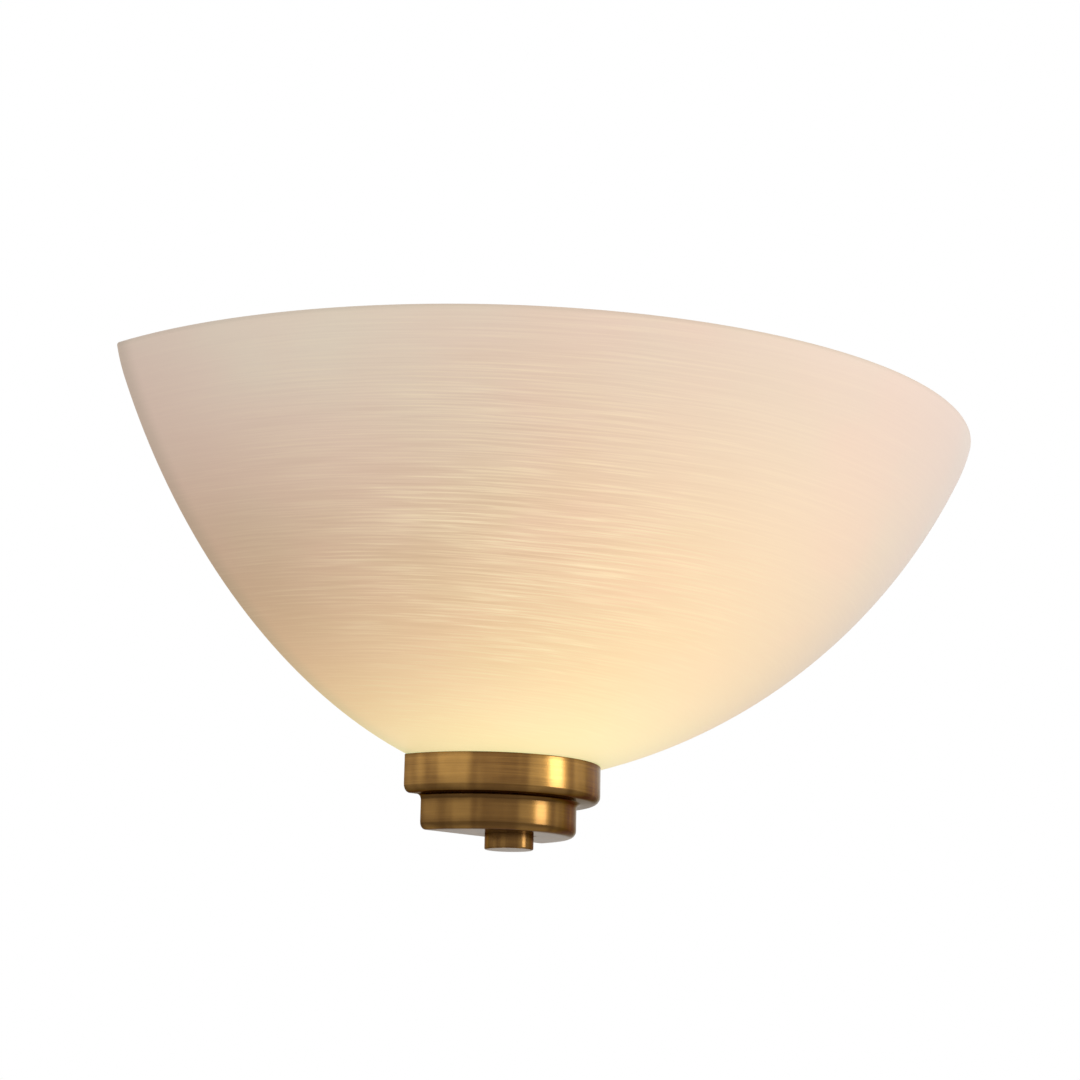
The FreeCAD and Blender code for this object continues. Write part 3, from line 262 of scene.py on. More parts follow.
def ring(radius_at, height_at):
    """Points round the z axis, their radius and height given for each share of a turn."""
    shares = [step / GIRTH_STEPS for step in range(GIRTH_STEPS)]
    return [(radius_at(share) * math.cos(math.tau * share),
             radius_at(share) * math.sin(math.tau * share), height_at(share))
            for share in shares]


def skinned(rings, loop=False):
    """A bmesh skin over rings of points: closed on itself, or closed off at both ends."""
    shape = bmesh.new()
    rows = [[shape.verts.new(point) for point in points] for points in rings]
    neighbours = list(zip(rows, rows[1:])) + ([(rows[-1], rows[0])] if loop else [])
    for here, there in neighbours:
        for step in range(GIRTH_STEPS):
            after = (step + 1) % GIRTH_STEPS
            shape.faces.new((here[step], here[after], there[after], there[step]))
    if not loop:
        shape.faces.new(rows[0])
        shape.faces.new(rows[-1])
    return shape


def threaded(radius, depth, pitch, low, high, form):
    """Rings of a rod with a helical thread, its ends chamfered to the root."""
    rows = round((high - low) / pitch * 10)
    heights = [low + (high - low) * row / rows for row in range(rows + 1)]

    def radius_for(height):
        chamfer = max(0.0, depth - min(height - low, high - height))
        return lambda share: radius - max(depth * form((height / pitch - share) % 1), chamfer)

    return [ring(radius_for(height), lambda share, height=height: height)
            for height in heights]


def hexagon_nut(flats, height, bore):
    """A nut with its corners chamfered on both faces, its bore down the z axis."""
    turned_face = flats * 0.475
    chamfer_slope = math.tan(math.radians(30))

    def outline(share):
        return flats / 2 / math.cos(math.tau * (share * 6 % 1 - 0.5) / 6)

    def drop(share):
        return (outline(share) - turned_face) * chamfer_slope

    return skinned([
        ring(lambda share: bore, lambda share: 0.0),
        ring(lambda share: turned_face, lambda share: 0.0),
        ring(outline, drop),
        ring(outline, lambda share: height - drop(share)),
        ring(lambda share: turned_face, lambda share: height),
        ring(lambda share: bore, lambda share: height),
    ], loop=True)


def placed(shape, x, y, z, outwards=False):
    """The shape moved to its place, and where asked turned to point away from the wall."""
    turn = Matrix.Rotation(math.pi / 2, 4, "X") if outwards else Matrix.Identity(4)
    bmesh.ops.transform(shape, matrix=Matrix.Translation((x, y, z)) @ turn, verts=shape.verts)
    return shape


stud_low, stud_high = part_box("clamp_stud")
stud_axis = (stud_low.y + stud_high.y) / 2
stud_rings = threaded(stud_high.x, THREAD_DEPTH, STUD_PITCH, stud_low.z, stud_high.z,
                      lambda phase: 1 - abs(2 * phase - 1))
fit(new_piece("threaded_stud", placed(skinned(stud_rings), 0, stud_axis, 0), bright_zinc,
              smooth_under=50), "wall_unit", "screw_steel", "clamp_stud")

for nut_node in ("stud_top_nut", "stud_lower_nut"):
    nut_low, nut_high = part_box(nut_node)
    nut = hexagon_nut(NUT_FLATS, nut_high.z - nut_low.z, stud_high.x)
    fit(new_piece("chamfered_" + nut_node, placed(nut, 0, stud_axis, nut_low.z), bright_zinc),
        "wall_unit", "screw_steel", nut_node)

nut_low, nut_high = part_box("nipple_nut")
nipple_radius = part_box("nipple")[1].x
flat_nut = hexagon_nut(NIPPLE_NUT_FLATS, nut_high.y - nut_low.y, nipple_radius)
fit(new_piece("chamfered_nipple_nut",
              placed(flat_nut, 0, nut_high.y, NIPPLE_LEVEL, outwards=True), bright_zinc),
    "wall_unit", "screw_steel", "nipple_nut")
dress("nipple", bright_zinc)

# ------------------------------------------------------------------ lampholder
# The E14 holder has a cap and a skirt moulded in black phenolic, a cream steatite core between
# them, and a rolled brass screw shell with a spring contact riveted to the core.


def moulding(name, colour, cloud_colour, roughness, grain_depth):
    """A moulded or fired surface with soft clouds and a fine grain."""
    skin = Finish(name, {"Specular IOR Level": 0.5})
    clouds = skin.noise(skin.place, 130.0, 3.0)
    grain = skin.noise(skin.place, 3200.0, 2.0)
    skin.feed("Base Color", skin.mix(clouds, colour, cloud_colour))
    skin.feed("Roughness", roughness + clouds * 0.12 + grain * 0.06)
    skin.bump(grain, grain_depth, 0.6)
    return skin.material


phenolic = moulding("black_phenolic", (0.014, 0.012, 0.011), (0.030, 0.026, 0.024), 0.24,
                    0.02 * MM)
for shell_part in ("holder_cap", "holder_skirt"):
    dress(shell_part, phenolic)
dress("holder_core", moulding("cream_steatite", (0.80, 0.75, 0.64), (0.70, 0.65, 0.55), 0.42,
                              0.04 * MM))


def pressed_brass(name):
    """Plain yellow brass strip, dulled in spots by handling and heat."""
    strip = Finish(name, {"Metallic": 1.0})
    rolling = strip.noise(strip.stretched(400, 9000, 9000), 1.0, 3.0)
    heat = strip.eased(strip.noise(strip.place, 260.0, 4.0, 0.6), 0.42, 0.70)
    strip.feed("Base Color", strip.mix(heat * 0.7, (0.80, 0.62, 0.30), (0.48, 0.31, 0.13)))
    strip.feed("Roughness", 0.20 + rolling * 0.14 + heat * 0.20)
    strip.bump(rolling, 0.01 * MM, 0.5)
    return strip.material


yellow_brass = pressed_brass("yellow_brass")
for contact_part in ("screw_shell", "contact_spring", "terminal_tubes"):
    dress(contact_part, yellow_brass)

# ------------------------------------------------------------------ terminals and leads
# A three-pole block moulded in white polyamide holds brass tubes, and a tinned tag earths the
# plate. Brown and blue leads run to the holder and a green one with yellow stripes to the tag.

dress("terminal_block", moulding("white_polyamide", (0.80, 0.80, 0.77), (0.74, 0.74, 0.70), 0.36,
                                 0.03 * MM))

tinned = Finish("tinned_copper", {"Metallic": 1.0})
tin_grain = tinned.noise(tinned.place, 700.0, 4.0, 0.6)
tinned.feed("Base Color", tinned.mix(tin_grain, (0.74, 0.73, 0.70), (0.55, 0.53, 0.49)))
tinned.feed("Roughness", 0.26 + tin_grain * 0.22)
tinned.bump(tin_grain, 0.015 * MM, 0.5)
for tinned_part in ("earth_tag", "bulb_contact"):
    dress(tinned_part, tinned.material)


def sleeve(name, colour, scuffed, stripe=None):
    """Extruded sleeving, a little scuffed, with a stripe along its upper side if one is given."""
    skin = Finish(name, {"Specular IOR Level": 0.45})
    scuffs = skin.noise(skin.place, 520.0, 4.0, 0.55)
    tone = skin.mix(scuffs, colour, scuffed)
    if stripe:
        facing = skin.node("TexCoord", out="Normal")
        upwards = skin.node("SeparateXYZ", {}, {0: facing}, out=2)
        tone = skin.mix(skin.eased(upwards, 0.30, 0.42), tone, stripe)
    skin.feed("Base Color", tone)
    skin.feed("Roughness", 0.34 + scuffs * 0.18)
    skin.bump(scuffs, 0.02 * MM, 0.4)
    return skin.material


dress("live_wire", sleeve("brown_sleeve", (0.13, 0.050, 0.022), (0.20, 0.085, 0.040)))
dress("neutral_wire", sleeve("blue_sleeve", (0.020, 0.12, 0.42), (0.05, 0.19, 0.50)))
dress("earth_wire", sleeve("green_sleeve", (0.030, 0.24, 0.055), (0.06, 0.32, 0.10),
                           stripe=(0.72, 0.60, 0.04)))

# ------------------------------------------------------------------ lamp
# A golf-ball lamp of opal glass screws into the holder by an E14 cap rolled from nickel-plated
# brass. A black glass ring parts the cap from its contact, and a clear stem holds the leads.

CAP_PITCH = 2.822 * MM
CAP_THREAD_DEPTH = 0.4 * MM
CAP_SHEET = 0.2 * MM
CAP_SHELL_RADIUS = 6.9 * MM
CAP_FOOT_RADIUS = 5.5 * MM
CAP_FOOT_HEIGHT = 2.4 * MM
CAP_THREAD_RUN_IN = 2.0 * MM
EVEN_GLOW_DEPTH = 22.0 * MM

nickel = Finish("nickel_cap", {"Metallic": 1.0})
polish = nickel.noise(nickel.stretched(600, 7000, 600), 1.0, 3.0)
tarnish = nickel.eased(nickel.noise(nickel.place, 190.0, 4.0), 0.46, 0.68)
nickel.feed("Base Color", nickel.mix(tarnish * 0.6, (0.72, 0.69, 0.63), (0.50, 0.45, 0.36)))
nickel.feed("Roughness", 0.18 + polish * 0.12 + tarnish * 0.14)
nickel.bump(polish, 0.008 * MM, 0.5)

cap_low, cap_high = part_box("bulb_cap")
cap_length = cap_high.y - cap_low.y


def rolled(phase):
    """The rounded thread of a lamp cap."""
    return 0.5 - 0.5 * math.cos(math.tau * phase)


def cap_radius_at(height, share):
    """Outer radius of the cap: a tapered foot, then the rolled thread."""
    if height < CAP_FOOT_HEIGHT:
        return CAP_FOOT_RADIUS + (CAP_SHELL_RADIUS - CAP_FOOT_RADIUS) * height / CAP_FOOT_HEIGHT
    fade = min(1.0, (height - CAP_FOOT_HEIGHT) / CAP_THREAD_RUN_IN,
               (cap_length - height) / CAP_THREAD_RUN_IN)
    return CAP_SHELL_RADIUS - CAP_THREAD_DEPTH * fade * rolled((height / CAP_PITCH - share) % 1)


cap_heights = [cap_length * row / 72 for row in range(73)]
cap_rings = [ring(lambda share, height=height: cap_radius_at(height, share),
                  lambda share, height=height: height) for height in cap_heights]
cap_rings += [ring(lambda share, height=height: cap_radius_at(height, share) - CAP_SHEET,
                   lambda share, height=height: height) for height in reversed(cap_heights)]
fit(new_piece("rolled_lamp_cap", placed(skinned(cap_rings, loop=True), 0, cap_high.y,
                                        NIPPLE_LEVEL, outwards=True), nickel.material,
              smooth_under=60), "lamp", "lamp_cap_metal", "bulb_cap")
dress("bulb_leads", nickel.material)

vitrite = Finish("black_vitrite", {"Specular IOR Level": 0.6})
swirl = vitrite.noise(vitrite.place, 340.0, 3.0)
vitrite.feed("Base Color", vitrite.mix(swirl, (0.010, 0.010, 0.014), (0.035, 0.030, 0.045)))
vitrite.feed("Roughness", 0.10 + swirl * 0.14)
dress("bulb_insulator", vitrite.material)

lamp_low, lamp_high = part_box("bulb_glass")
opal = Finish("opal_lamp_glass", {"Emission Strength": 1.0, "Coat Weight": 0.4,
                                  "Coat Roughness": 0.05})
powder = opal.noise(opal.place, 240.0, 3.0)
outwards = opal.node("SeparateXYZ", {}, {0: opal.place}, out=1)
hot = 1 - opal.eased(outwards, lamp_low.y + EVEN_GLOW_DEPTH, lamp_high.y)
opal.feed("Base Color", opal.mix(powder, (0.56, 0.53, 0.47), (0.50, 0.47, 0.41)))
opal.feed("Roughness", 0.22 + powder * 0.10)
opal.feed("Emission Color", opal.mix(hot, (0.26, 0.14, 0.05),
                                     opal.mix(powder, (0.46, 0.36, 0.22), (0.42, 0.32, 0.18))))
dress("bulb_glass", opal.material)

stem_glass = Finish("clear_stem_glass", {"Transmission Weight": 1.0, "IOR": 1.5})
seeds = stem_glass.noise(stem_glass.place, 800.0, 2.0)
stem_glass.feed("Roughness", 0.02 + seeds * 0.05)
stem_glass.feed("Base Color", stem_glass.mix(seeds, (0.97, 0.98, 0.97), (0.92, 0.95, 0.93)))
dress("bulb_stem", stem_glass.material)

tungsten = Finish("hot_tungsten", {"Metallic": 1.0, "Emission Strength": 3.0})
coil = tungsten.noise(tungsten.place, 3000.0, 2.0)
tungsten.feed("Base Color", tungsten.mix(coil, (0.35, 0.33, 0.32), (0.22, 0.21, 0.20)))
tungsten.feed("Roughness", 0.35 + coil * 0.20)
tungsten.feed("Emission Color", tungsten.mix(coil, (1.0, 0.72, 0.38), (1.0, 0.60, 0.26)))
dress("bulb_filament", tungsten.material)

# ------------------------------------------------------------------ painted glass half bowl
# The shade is a slumped glass half bowl, cut flat at the wall and ground round its rim. It is
# sprayed cream, and a dry brush drawn round it while the paint is wet leaves fine level
# streaks. Lit from inside, it glows amber low down in front.

glass_low, glass_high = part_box("glass_shade")
GLASS_WALL = 4.0 * MM
FOOT_RADIUS = 23.3 * MM
FOOT_SLOPE = math.radians(11.3)
RIM_SLOPE = math.radians(76.8)
RIM_ARC = 43.3 * MM
RIM_ROUND = 1.1 * MM
GLASS_HOLE = 4.5 * MM
BRUSH_WANDER = 3.0 * MM


def arc(centre, radius, start, end, count):
    """Points on an arc in the plane of a half section, as (radius, height)."""
    angles = [start + (end - start) * step / count for step in range(count + 1)]
    return [(centre[0] + radius * math.cos(angle), centre[1] + radius * math.sin(angle))
            for angle in angles]


def turned(profile, steps, sweep=(0, 360), closed=True):
    """A bmesh of a half section (radius, height) turned about the z axis."""
    whole = sweep[1] - sweep[0] >= 360
    shape = bmesh.new()
    columns = []
    for step in range(steps if whole else steps + 1):
        angle = math.radians(sweep[0] + (sweep[1] - sweep[0]) * step / steps)
        columns.append([shape.verts.new((radius * math.cos(angle), radius * math.sin(angle),
                                         height)) for radius, height in profile])
    rows = len(profile)
    for step in range(steps):
        here, there = columns[step], columns[(step + 1) % len(columns)]
        for row in range(rows if closed else rows - 1):
            above = (row + 1) % rows
            shape.faces.new((here[row], there[row], there[above], here[above]))
    if not whole:
        shape.faces.new(columns[0])
        shape.faces.new(columns[-1])
    return shape


def drill_through(piece, radius, under, over):
    """Cut a round hole for the stud through a piece, and keep it in the mesh."""
    clear = 2 * MM
    cutter = new_piece("drill", placed(turned(
        [(0, under - clear), (radius, under - clear), (radius, over + clear),
         (0, over + clear)], 48, closed=False), 0, stud_axis, 0), piece.data.materials[0])
    hole = piece.modifiers.new("stud_hole", "BOOLEAN")
    hole.object = cutter
    hole.operation = "DIFFERENCE"
    hole.solver = "EXACT"
    bpy.context.view_layer.update()
    drilled = bpy.data.meshes.new_from_object(
        piece.evaluated_get(bpy.context.evaluated_depsgraph_get()))
    piece.modifiers.clear()
    piece.data = drilled
    bpy.data.objects.remove(cutter)


rim_radius, rim_level, floor_level = glass_high.x, glass_high.z, glass_low.z
rim_centre = Vector((rim_radius - RIM_ARC * math.sin(RIM_SLOPE),
                     rim_level + RIM_ARC * math.cos(RIM_SLOPE)))
foot = Vector((FOOT_RADIUS, floor_level))
foot_normal = Vector((-math.sin(FOOT_SLOPE), math.cos(FOOT_SLOPE)))
span = rim_centre - foot
bowl_arc = (span.length_squared - RIM_ARC ** 2) / (2 * (span.dot(foot_normal) - RIM_ARC))
bowl_centre = foot + foot_normal * bowl_arc
knee_angle = math.atan2(*reversed(rim_centre - bowl_centre))


def bowl_side(inset, foot_angle, rim_angle, fine=40):
    """One face of the glass from its floor to its rim."""
    lower = arc(bowl_centre, bowl_arc - inset, foot_angle, knee_angle, fine)
    upper = arc(rim_centre, RIM_ARC - inset, knee_angle, rim_angle, fine // 4)
    return lower + upper[1:]


def angle_at_level(centre, radius, level):
    """The angle at which an arc passes a level, on its lower right side."""
    return math.asin((level - centre[1]) / radius)


rim_stop = rim_level - RIM_ROUND
outer_side = bowl_side(0, FOOT_SLOPE - math.pi / 2, angle_at_level(rim_centre, RIM_ARC, rim_stop))
inner_side = bowl_side(GLASS_WALL,
                       angle_at_level(bowl_centre, bowl_arc - GLASS_WALL,
                                      floor_level + GLASS_WALL),
                       angle_at_level(rim_centre, RIM_ARC - GLASS_WALL, rim_stop))
outer_edge, inner_edge = outer_side[-1][0], inner_side[-1][0]
rim = (arc((outer_edge - RIM_ROUND, rim_stop), RIM_ROUND, 0, math.pi / 2, 5)[1:]
       + arc((inner_edge + RIM_ROUND, rim_stop), RIM_ROUND, math.pi / 2, math.pi, 5)[:-1])
floor_rings = [FOOT_RADIUS * share for share in (0.0, 0.25, 0.5, 0.75)]
glass_profile = ([(radius, floor_level) for radius in floor_rings] + outer_side + rim
                 + inner_side[::-1]
                 + [(radius, floor_level + GLASS_WALL) for radius in floor_rings[::-1]])

painted = Finish("brushed_cream_glass", {
    "Specular IOR Level": 0.15, "IOR": 1.5, "Emission Strength": 1.0,
})
across, outward, upward = [
    painted.node("SeparateXYZ", {}, {0: painted.place}, out=axis) for axis in range(3)]
round_angle = painted.node("Math", {"operation": "ARCTAN2"}, {0: across, 1: outward * -1})
reach = (across * across + outward * outward) ** 0.5
slant = reach * 0.55 + upward


def nearness(finish, point, spread):
    """1 at a point (mm) and fading out round it, as a lamp's glow does."""
    away = finish.node("VectorMath", {"operation": "DISTANCE"},
                       {0: finish.place, 1: tuple(part * MM for part in point)}, out="Value")
    return math.e ** ((away / (spread * MM)) ** 2 * -1)


def brush_pass(tilt, girth_scale, side_scale, seed):
    """One pass of the dry brush: noise stretched along the girth, fine up the side."""
    wander = painted.noise(painted.stretched(9, 9, 9), 1.0, 2.0)
    drift = round_angle * (rim_level - upward) * tilt
    height = (slant + drift + wander * BRUSH_WANDER) * side_scale
    spot = painted.node("CombineXYZ", {}, {0: round_angle * girth_scale, 1: height, 2: seed})
    return painted.noise(spot, 1.0, 2.0, 0.55)


# Two passes cross at a slight angle and sag to the right low on the bowl. The brush bears
# hardest left of the front, low down, and hardly marks the right side and the two ends.
fine_pass = brush_pass(0.12, 4.5, 1300.0, 3.1)
long_pass = brush_pass(0.08, 2.4, 900.0, 7.7)
patches = painted.eased(painted.noise(painted.stretched(24, 24, 60), 1.0, 3.0), 0.34, 0.62)
brush_weight = 0.03 + nearness(painted, (-110, -109, -48), 60)
pale_lines = (painted.eased(fine_pass, 0.50, 0.64) * 0.70
              + painted.eased(long_pass, 0.51, 0.66) * 0.50)
dark_lines = (1 - painted.eased(fine_pass, 0.36, 0.48)) * 0.6 + (
    1 - painted.eased(long_pass, 0.36, 0.48)) * 0.4
streaks = pale_lines * (0.60 + 0.40 * patches) * brush_weight

clouds = painted.noise(painted.stretched(17, 17, 23), 1.0, 2.0)
# Low down, left of the middle, the paint warms to orange: painted light from the lamp.
painted_lamp_light = nearness(painted, (-49, 11, -52), 134)
# Paler, yellower cream towards the upper left end.
pale_upper_end = nearness(painted, (-133, -50, 77), 76)
paint = painted.mix(painted_lamp_light, (0.72, 0.631, 0.579), (0.805, 0.42, 0.259))
paint = painted.mix(pale_upper_end, paint, (0.93, 0.835, 0.685))
paint = painted.mix(painted.eased(clouds, 0.38, 0.62) * 0.14, paint, (0.92, 0.50, 0.47))
olive = painted.noise(painted.stretched(31, 31, 52), 1.0, 2.0)
paint = painted.mix(painted.eased(olive, 0.50, 0.66) * brush_weight * 0.20, paint,
                    (0.66, 0.58, 0.32))
# Darker by the wall cut: partly the glass's grey-green edge, partly painted shade.
cut_edge = painted.eased(outward, -7.0 * MM, -0.5 * MM)
paint = painted.mix(cut_edge * 0.30, paint, (0.34, 0.32, 0.24))
# Painted shade: the left end near the wall darkens towards brown.
shaded_left_end = nearness(painted, (-116, -12, -27), 36)
paint = painted.mix(shaded_left_end * 0.30, paint, (0.34, 0.27, 0.13))
cool_side = nearness(painted, (105, -95, 15), 85)
paint = painted.mix(cool_side * 0.24, paint, (0.55, 0.62, 0.57))
rim_edge = painted.eased(upward, rim_level - 2.0 * MM, rim_level - 0.6 * MM)
paint = painted.mix(rim_edge * 0.20, paint, (0.42, 0.38, 0.31))

# Lit from inside, the glass glows amber, most where it runs closest under the lamp.
glow = painted.mix(nearness(painted, (-6, -10, -17.6), 53.1), (0, 0, 0), (0.799, 1.0, 0.512))
wide_glow = painted.mix(nearness(painted, (-13.9, -53.9, 32), 62.9), (0, 0, 0),
                        (0.996, 0.756, 0.178))
glow = painted.mix(1.0, glow, wide_glow, blend="ADD")

# Between the brush's pale lines the paint is left a little darker than elsewhere.
worked_paint = painted.mix(brush_weight * (0.55 + 0.80 * dark_lines), paint,
                           (0.77, 0.69, 0.68), "MULTIPLY")
worked_paint = painted.mix(streaks * 0.95, worked_paint, (0.98, 0.86, 0.64))

# The inner face is bare opal glass, brightest round the lamp.
facing = painted.node("TexCoord", out="Normal")
from_middle = painted.node("VectorMath", {"operation": "SUBTRACT"},
                           {0: painted.place, 1: (0, 0, rim_level)})
leaving = painted.node("VectorMath", {"operation": "DOT_PRODUCT"},
                       {0: facing, 1: from_middle}, out="Value")
bare = 1 - painted.eased(leaving, -4 * MM, 1 * MM)
inner_glow = painted.mix(nearness(painted, (0, -82, 10), 95), (0.02, 0.012, 0.005),
                         (0.46, 0.27, 0.10))
painted.feed("Base Color", painted.mix(bare, worked_paint, (0.78, 0.75, 0.69)))
painted.feed("Roughness", 0.52 - streaks * 0.12 - bare * 0.25)
painted.bump(streaks, 0.05 * MM, 0.4)
painted.feed("Emission Color", painted.mix(bare, painted.mix(streaks * 0.22, glow,
                                                             (0.62, 0.50, 0.24)), inner_glow))

bowl = turned(glass_profile, 224, sweep=(180, 360))
shade_piece = new_piece("glass_half_bowl", bowl, painted.material)
drill_through(shade_piece, GLASS_HOLE, floor_level, floor_level + GLASS_WALL)
fit(shade_piece, "shade", "painted_glass", "glass_shade")

# ------------------------------------------------------------------ stepped brass cup
# The cup is spun from thin brass sheet in two steps, cut in half, brushed round while it
# still turns on the lathe, browned with an antique patina and lacquered.

cup_low, cup_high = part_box("stepped_cup")
CUP_WALL = 1.0 * MM
CUP_LOWER_RADIUS = 28.1 * MM
CUP_STEP_RISE = 10.4 * MM
SHOULDER_BEND = 2.4 * MM
NECK_BEND = 1.6 * MM
BASE_BEND = 2.2 * MM
MOUTH_RISE = 0.4 * MM
SPIGOT_HOLE = 5.1 * MM
LATHE_LINES = 5200.0
SWEEP_START = -0.6


def brushed_brass(name, axis, low, high, patina_and_shade_stops):
    """Antiqued brass, brushed round its axis, with painted reflections in bands round its girth.

    The stops say how dark it is at each height: partly the antique browning, partly painted shade.
    """
    brass = Finish(name, {
        "Metallic": 1.0, "Specular Tint": (0.45, 0.36, 0.25, 1), "Coat Roughness": 0.10,
        "Coat IOR": 1.5,
    })
    x, y, z = [brass.node("SeparateXYZ", {}, {0: brass.place}, out=axis_number)
               for axis_number in range(3)]
    y = y - axis
    spin = brass.node("Math", {"operation": "ARCTAN2"}, {0: x, 1: y * -1})
    radius = (x * x + y * y) ** 0.5
    lathe = brass.node("CombineXYZ", {}, {0: spin * 1.3, 1: z * LATHE_LINES,
                                            2: radius * LATHE_LINES})
    rings = brass.noise(lathe, 1.0, 3.0, 0.65)
    bands = brass.noise(lathe, 0.21, 2.0)
    smoke = brass.noise(brass.place, 95.0, 4.0, 0.55)
    worn = brass.eased(rings * 0.45 + bands * 0.25 + smoke * 0.30, 0.38, 0.62)
    # Painted reflections: paler and darker upright bands round the girth.
    sweep = brass.node("CombineXYZ", {}, {0: spin * 3.4 + SWEEP_START, 1: z * 9.0, 2: 4.0})
    painted_reflection_bands = brass.eased(brass.noise(sweep, 1.0, 2.0, 0.5), 0.40, 0.60)
    metal = brass.mix(worn * 0.35 + painted_reflection_bands * 0.65, (0.14, 0.058, 0.007), (0.46, 0.245, 0.058))
    height = (z - low) / (high - low) + (smoke - 0.5) * 0.10
    patina_and_shade = brass.node("ValToRGB", {"stops": [(place, (share, share, share))
                                               for place, share in patina_and_shade_stops]}, {0: height})
    brass.feed("Base Color", brass.mix(patina_and_shade, metal, (0.085, 0.042, 0.013)))
    brass.feed("Roughness", 0.15 + rings * 0.08 + smoke * 0.04)
    brass.feed("Coat Weight", (1 - patina_and_shade) * 0.4)
    brass.bump(rings, 0.008 * MM, 0.4)
    return brass.material


cup_radius, mouth_level, base_level = cup_high.x, cup_high.z, cup_low.z
step_level = base_level + CUP_STEP_RISE


def bend(x, z, radius, start, turn):
    """A quarter-round corner of a half section, from one angle to the next."""
    return arc((x, z), radius, math.radians(start), math.radians(start + turn), 6)


LIP = 0.3 * MM
cup_profile = (
    [(share * CUP_LOWER_RADIUS, base_level) for share in (0, 0.3, 0.6, 0.85)]
    + bend(CUP_LOWER_RADIUS - BASE_BEND, base_level + BASE_BEND, BASE_BEND, -90, 90)
    + bend(CUP_LOWER_RADIUS + NECK_BEND, step_level - NECK_BEND, NECK_BEND, 180, -90)
    + bend(cup_radius - SHOULDER_BEND, step_level + SHOULDER_BEND, SHOULDER_BEND, -90, 90)
    + bend(cup_radius - LIP, mouth_level + MOUTH_RISE - LIP, LIP, 0, 90)
    + bend(cup_radius - CUP_WALL + LIP, mouth_level - LIP, LIP, 90, 90)
    + bend(cup_radius - SHOULDER_BEND, step_level + SHOULDER_BEND,
           SHOULDER_BEND - CUP_WALL, 0, -90)
    + bend(CUP_LOWER_RADIUS + NECK_BEND, step_level - NECK_BEND, NECK_BEND + CUP_WALL, 90, 90)
    + bend(CUP_LOWER_RADIUS - BASE_BEND, base_level + BASE_BEND, BASE_BEND - CUP_WALL, 0, -90)
    + [(share * CUP_LOWER_RADIUS, base_level + CUP_WALL) for share in (0.85, 0.6, 0.3, 0)]
)
# Darkest in the neck under the step, along the lower bends and at the mouth: antique browning
# in the hollow, and painted shade under the step, on the bends that face down and by the glass.
cup_patina_and_shade = [(0.0, 0.42), (0.06, 0.80), (0.20, 0.46), (0.36, 0.54), (0.44, 0.95), (0.50, 0.85),
              (0.57, 0.42), (0.72, 0.08), (0.95, 0.0), (1.0, 0.35)]
cup_piece = new_piece("spun_brass_cup", turned(cup_profile, 160, sweep=(180, 360)),
                      brushed_brass("antique_brass_cup", 0.0, base_level, mouth_level, cup_patina_and_shade),
                      smooth_under=60)
drill_through(cup_piece, SPIGOT_HOLE, base_level, base_level + CUP_WALL)
fit(cup_piece, "shade", "antique_brass", "stepped_cup")

# ------------------------------------------------------------------ finial knob
# A short plain knob turned from brass bar, with its corner broken and its end faced off,
# screws up on the stud and draws the cup against the glass.

knob_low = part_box("finial_knob")[0]
# Darkest where it meets the cup: partly antique browning, partly painted shade under the cup.
knob_patina_and_shade = [(0.0, 0.45), (0.10, 0.72), (0.45, 0.70), (0.90, 0.85), (1.0, 0.97)]
dress("finial_knob", brushed_brass("antique_brass_knob", stud_axis, knob_low.z, base_level,
                                   knob_patina_and_shade), bevel=0.2 * MM)

# ------------------------------------------------------------------ studio
# A plain pale floor far under the light, white all round, one tall softbox to the right of
# the light and a broad fill in front of it, which the brass doesn't mirror.

FLOOR_LEVEL = -1.0
FLOOR_HALF = 6.0

floor_shape = bmesh.new()
bmesh.ops.create_grid(floor_shape, x_segments=1, y_segments=1, size=FLOOR_HALF)
floor_finish = Finish("pale_floor", {"Roughness": 0.8})
floor_grain = floor_finish.noise(floor_finish.place, 3.0, 3.0)
floor_finish.feed("Base Color", floor_finish.mix(floor_grain, (0.86, 0.86, 0.86),
                                                 (0.9, 0.9, 0.9)))
floor_piece = new_piece("pale_floor", floor_shape, floor_finish.material)
floor_piece.location.z = FLOOR_LEVEL


class Backdrop(Finish):
    """The world behind everything, built by the same node calls as a finish."""

    def __init__(self, name):
        self.world = bpy.data.worlds.new(name)
        self.world.use_nodes = True
        self.tree = self.world.node_tree
        self.shader = self.tree.nodes["Background"]
        self.shader.inputs["Color"].default_value = (1, 1, 1, 1)


# It lights the object a little less than white, and looks white itself and in metal and glass.
WORLD_LIGHT = 0.70

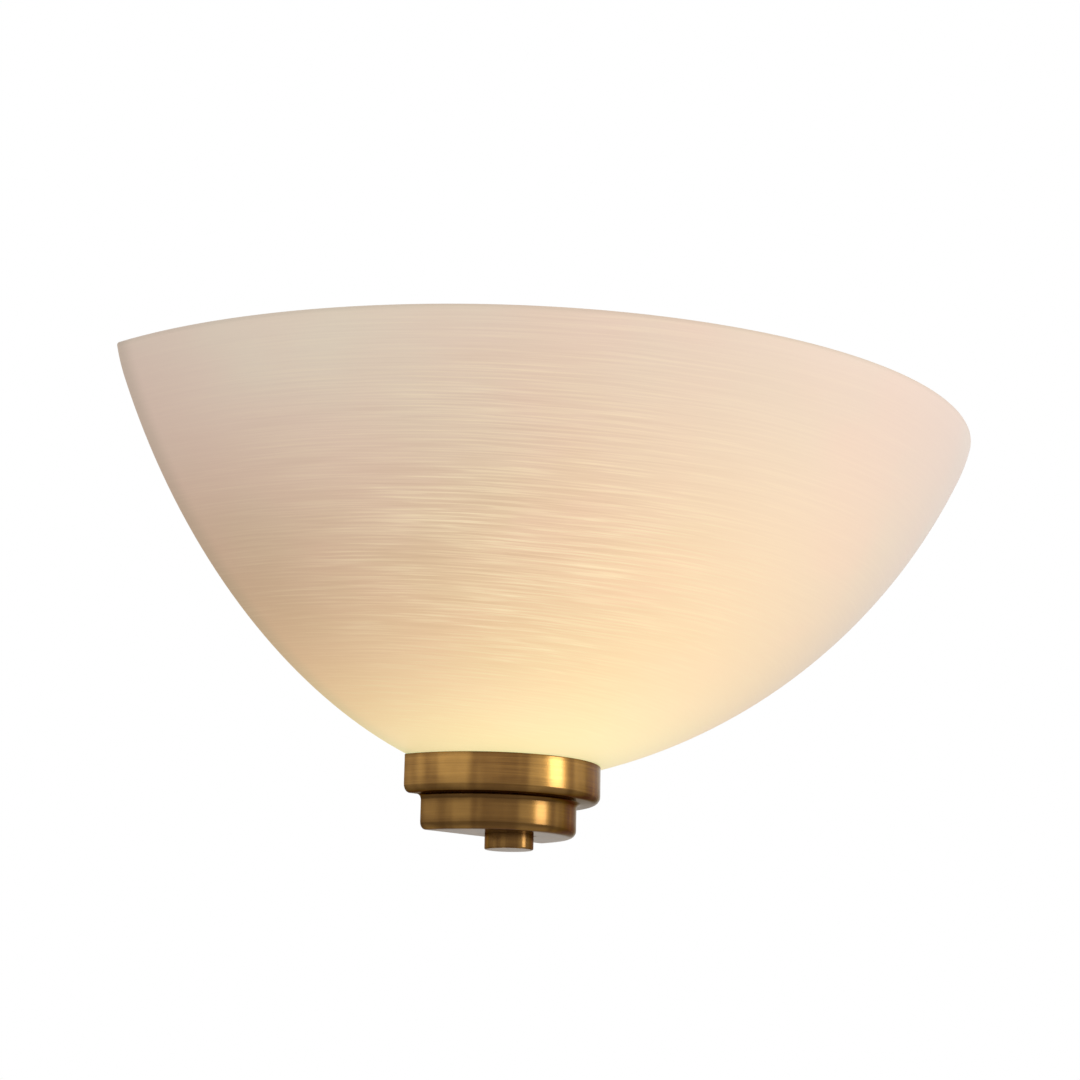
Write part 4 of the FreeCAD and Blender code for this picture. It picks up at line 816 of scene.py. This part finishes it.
white_studio = Backdrop("white_studio")
bpy.context.scene.world = white_studio.world
camera_ray, glossy_ray, transmission_ray = [
    white_studio.node("LightPath", out="Is " + kind + " Ray")
    for kind in ("Camera", "Glossy", "Transmission")]
seen = white_studio.node("Math", {"operation": "MAXIMUM"}, {0: camera_ray, 1: glossy_ray})
seen = white_studio.node("Math", {"operation": "MAXIMUM"}, {0: seen, 1: transmission_ray})
white_studio.feed("Strength", white_studio.node(
    "MapRange", {}, {"Value": seen, "To Min": WORLD_LIGHT, "To Max": 1.0}))


def softbox(name, direction, distance, width, height, power):
    """An area lamp that faces the light from an azimuth and elevation in degrees."""
    azimuth, elevation = [math.radians(value) for value in direction]
    back = Vector((math.sin(azimuth) * math.cos(elevation),
                   -math.cos(azimuth) * math.cos(elevation), math.sin(elevation)))
    lamp = bpy.data.lights.new(name, "AREA")
    lamp.shape = "RECTANGLE"
    lamp.size, lamp.size_y = width, height
    lamp.energy = power
    holder = bpy.data.objects.new(name, lamp)
    holder.location = back * distance
    holder.rotation_mode = "QUATERNION"
    holder.rotation_quaternion = back.to_track_quat("Z", "Y")
    bpy.context.scene.collection.objects.link(holder)
    return holder


softbox("tall_softbox", (27, 4), 1.3, 0.38, 0.7, 4.1)
front_fill = softbox("front_fill", (-8, -4), 2.0, 1.5, 1.5, 6.0)
front_fill.visible_glossy = False

# The camera stands left of the light and below it, as it does for the photograph.
CAMERA_PLACE = (-0.5223, -0.5021, -0.1467)
CAMERA_AZIMUTH = 47.33
CAMERA_PITCH = 12.49
CAMERA_ROLL = 1.15
CAMERA_LENS = 78.09

eye = bpy.data.cameras.new("photo_camera")
eye.sensor_width = 36.0
eye.lens = CAMERA_LENS
camera = bpy.data.objects.new("photo_camera", eye)
bpy.context.scene.collection.objects.link(camera)
bpy.context.scene.camera = camera
camera.matrix_world = (
    Matrix.Translation(CAMERA_PLACE)
    @ Matrix.Rotation(math.radians(-CAMERA_AZIMUTH), 4, "Z")
    @ Matrix.Rotation(math.radians(90 + CAMERA_PITCH), 4, "X")
    @ Matrix.Rotation(math.radians(CAMERA_ROLL), 4, "Z")
)

bpy.context.scene.view_settings.view_transform = "Standard"
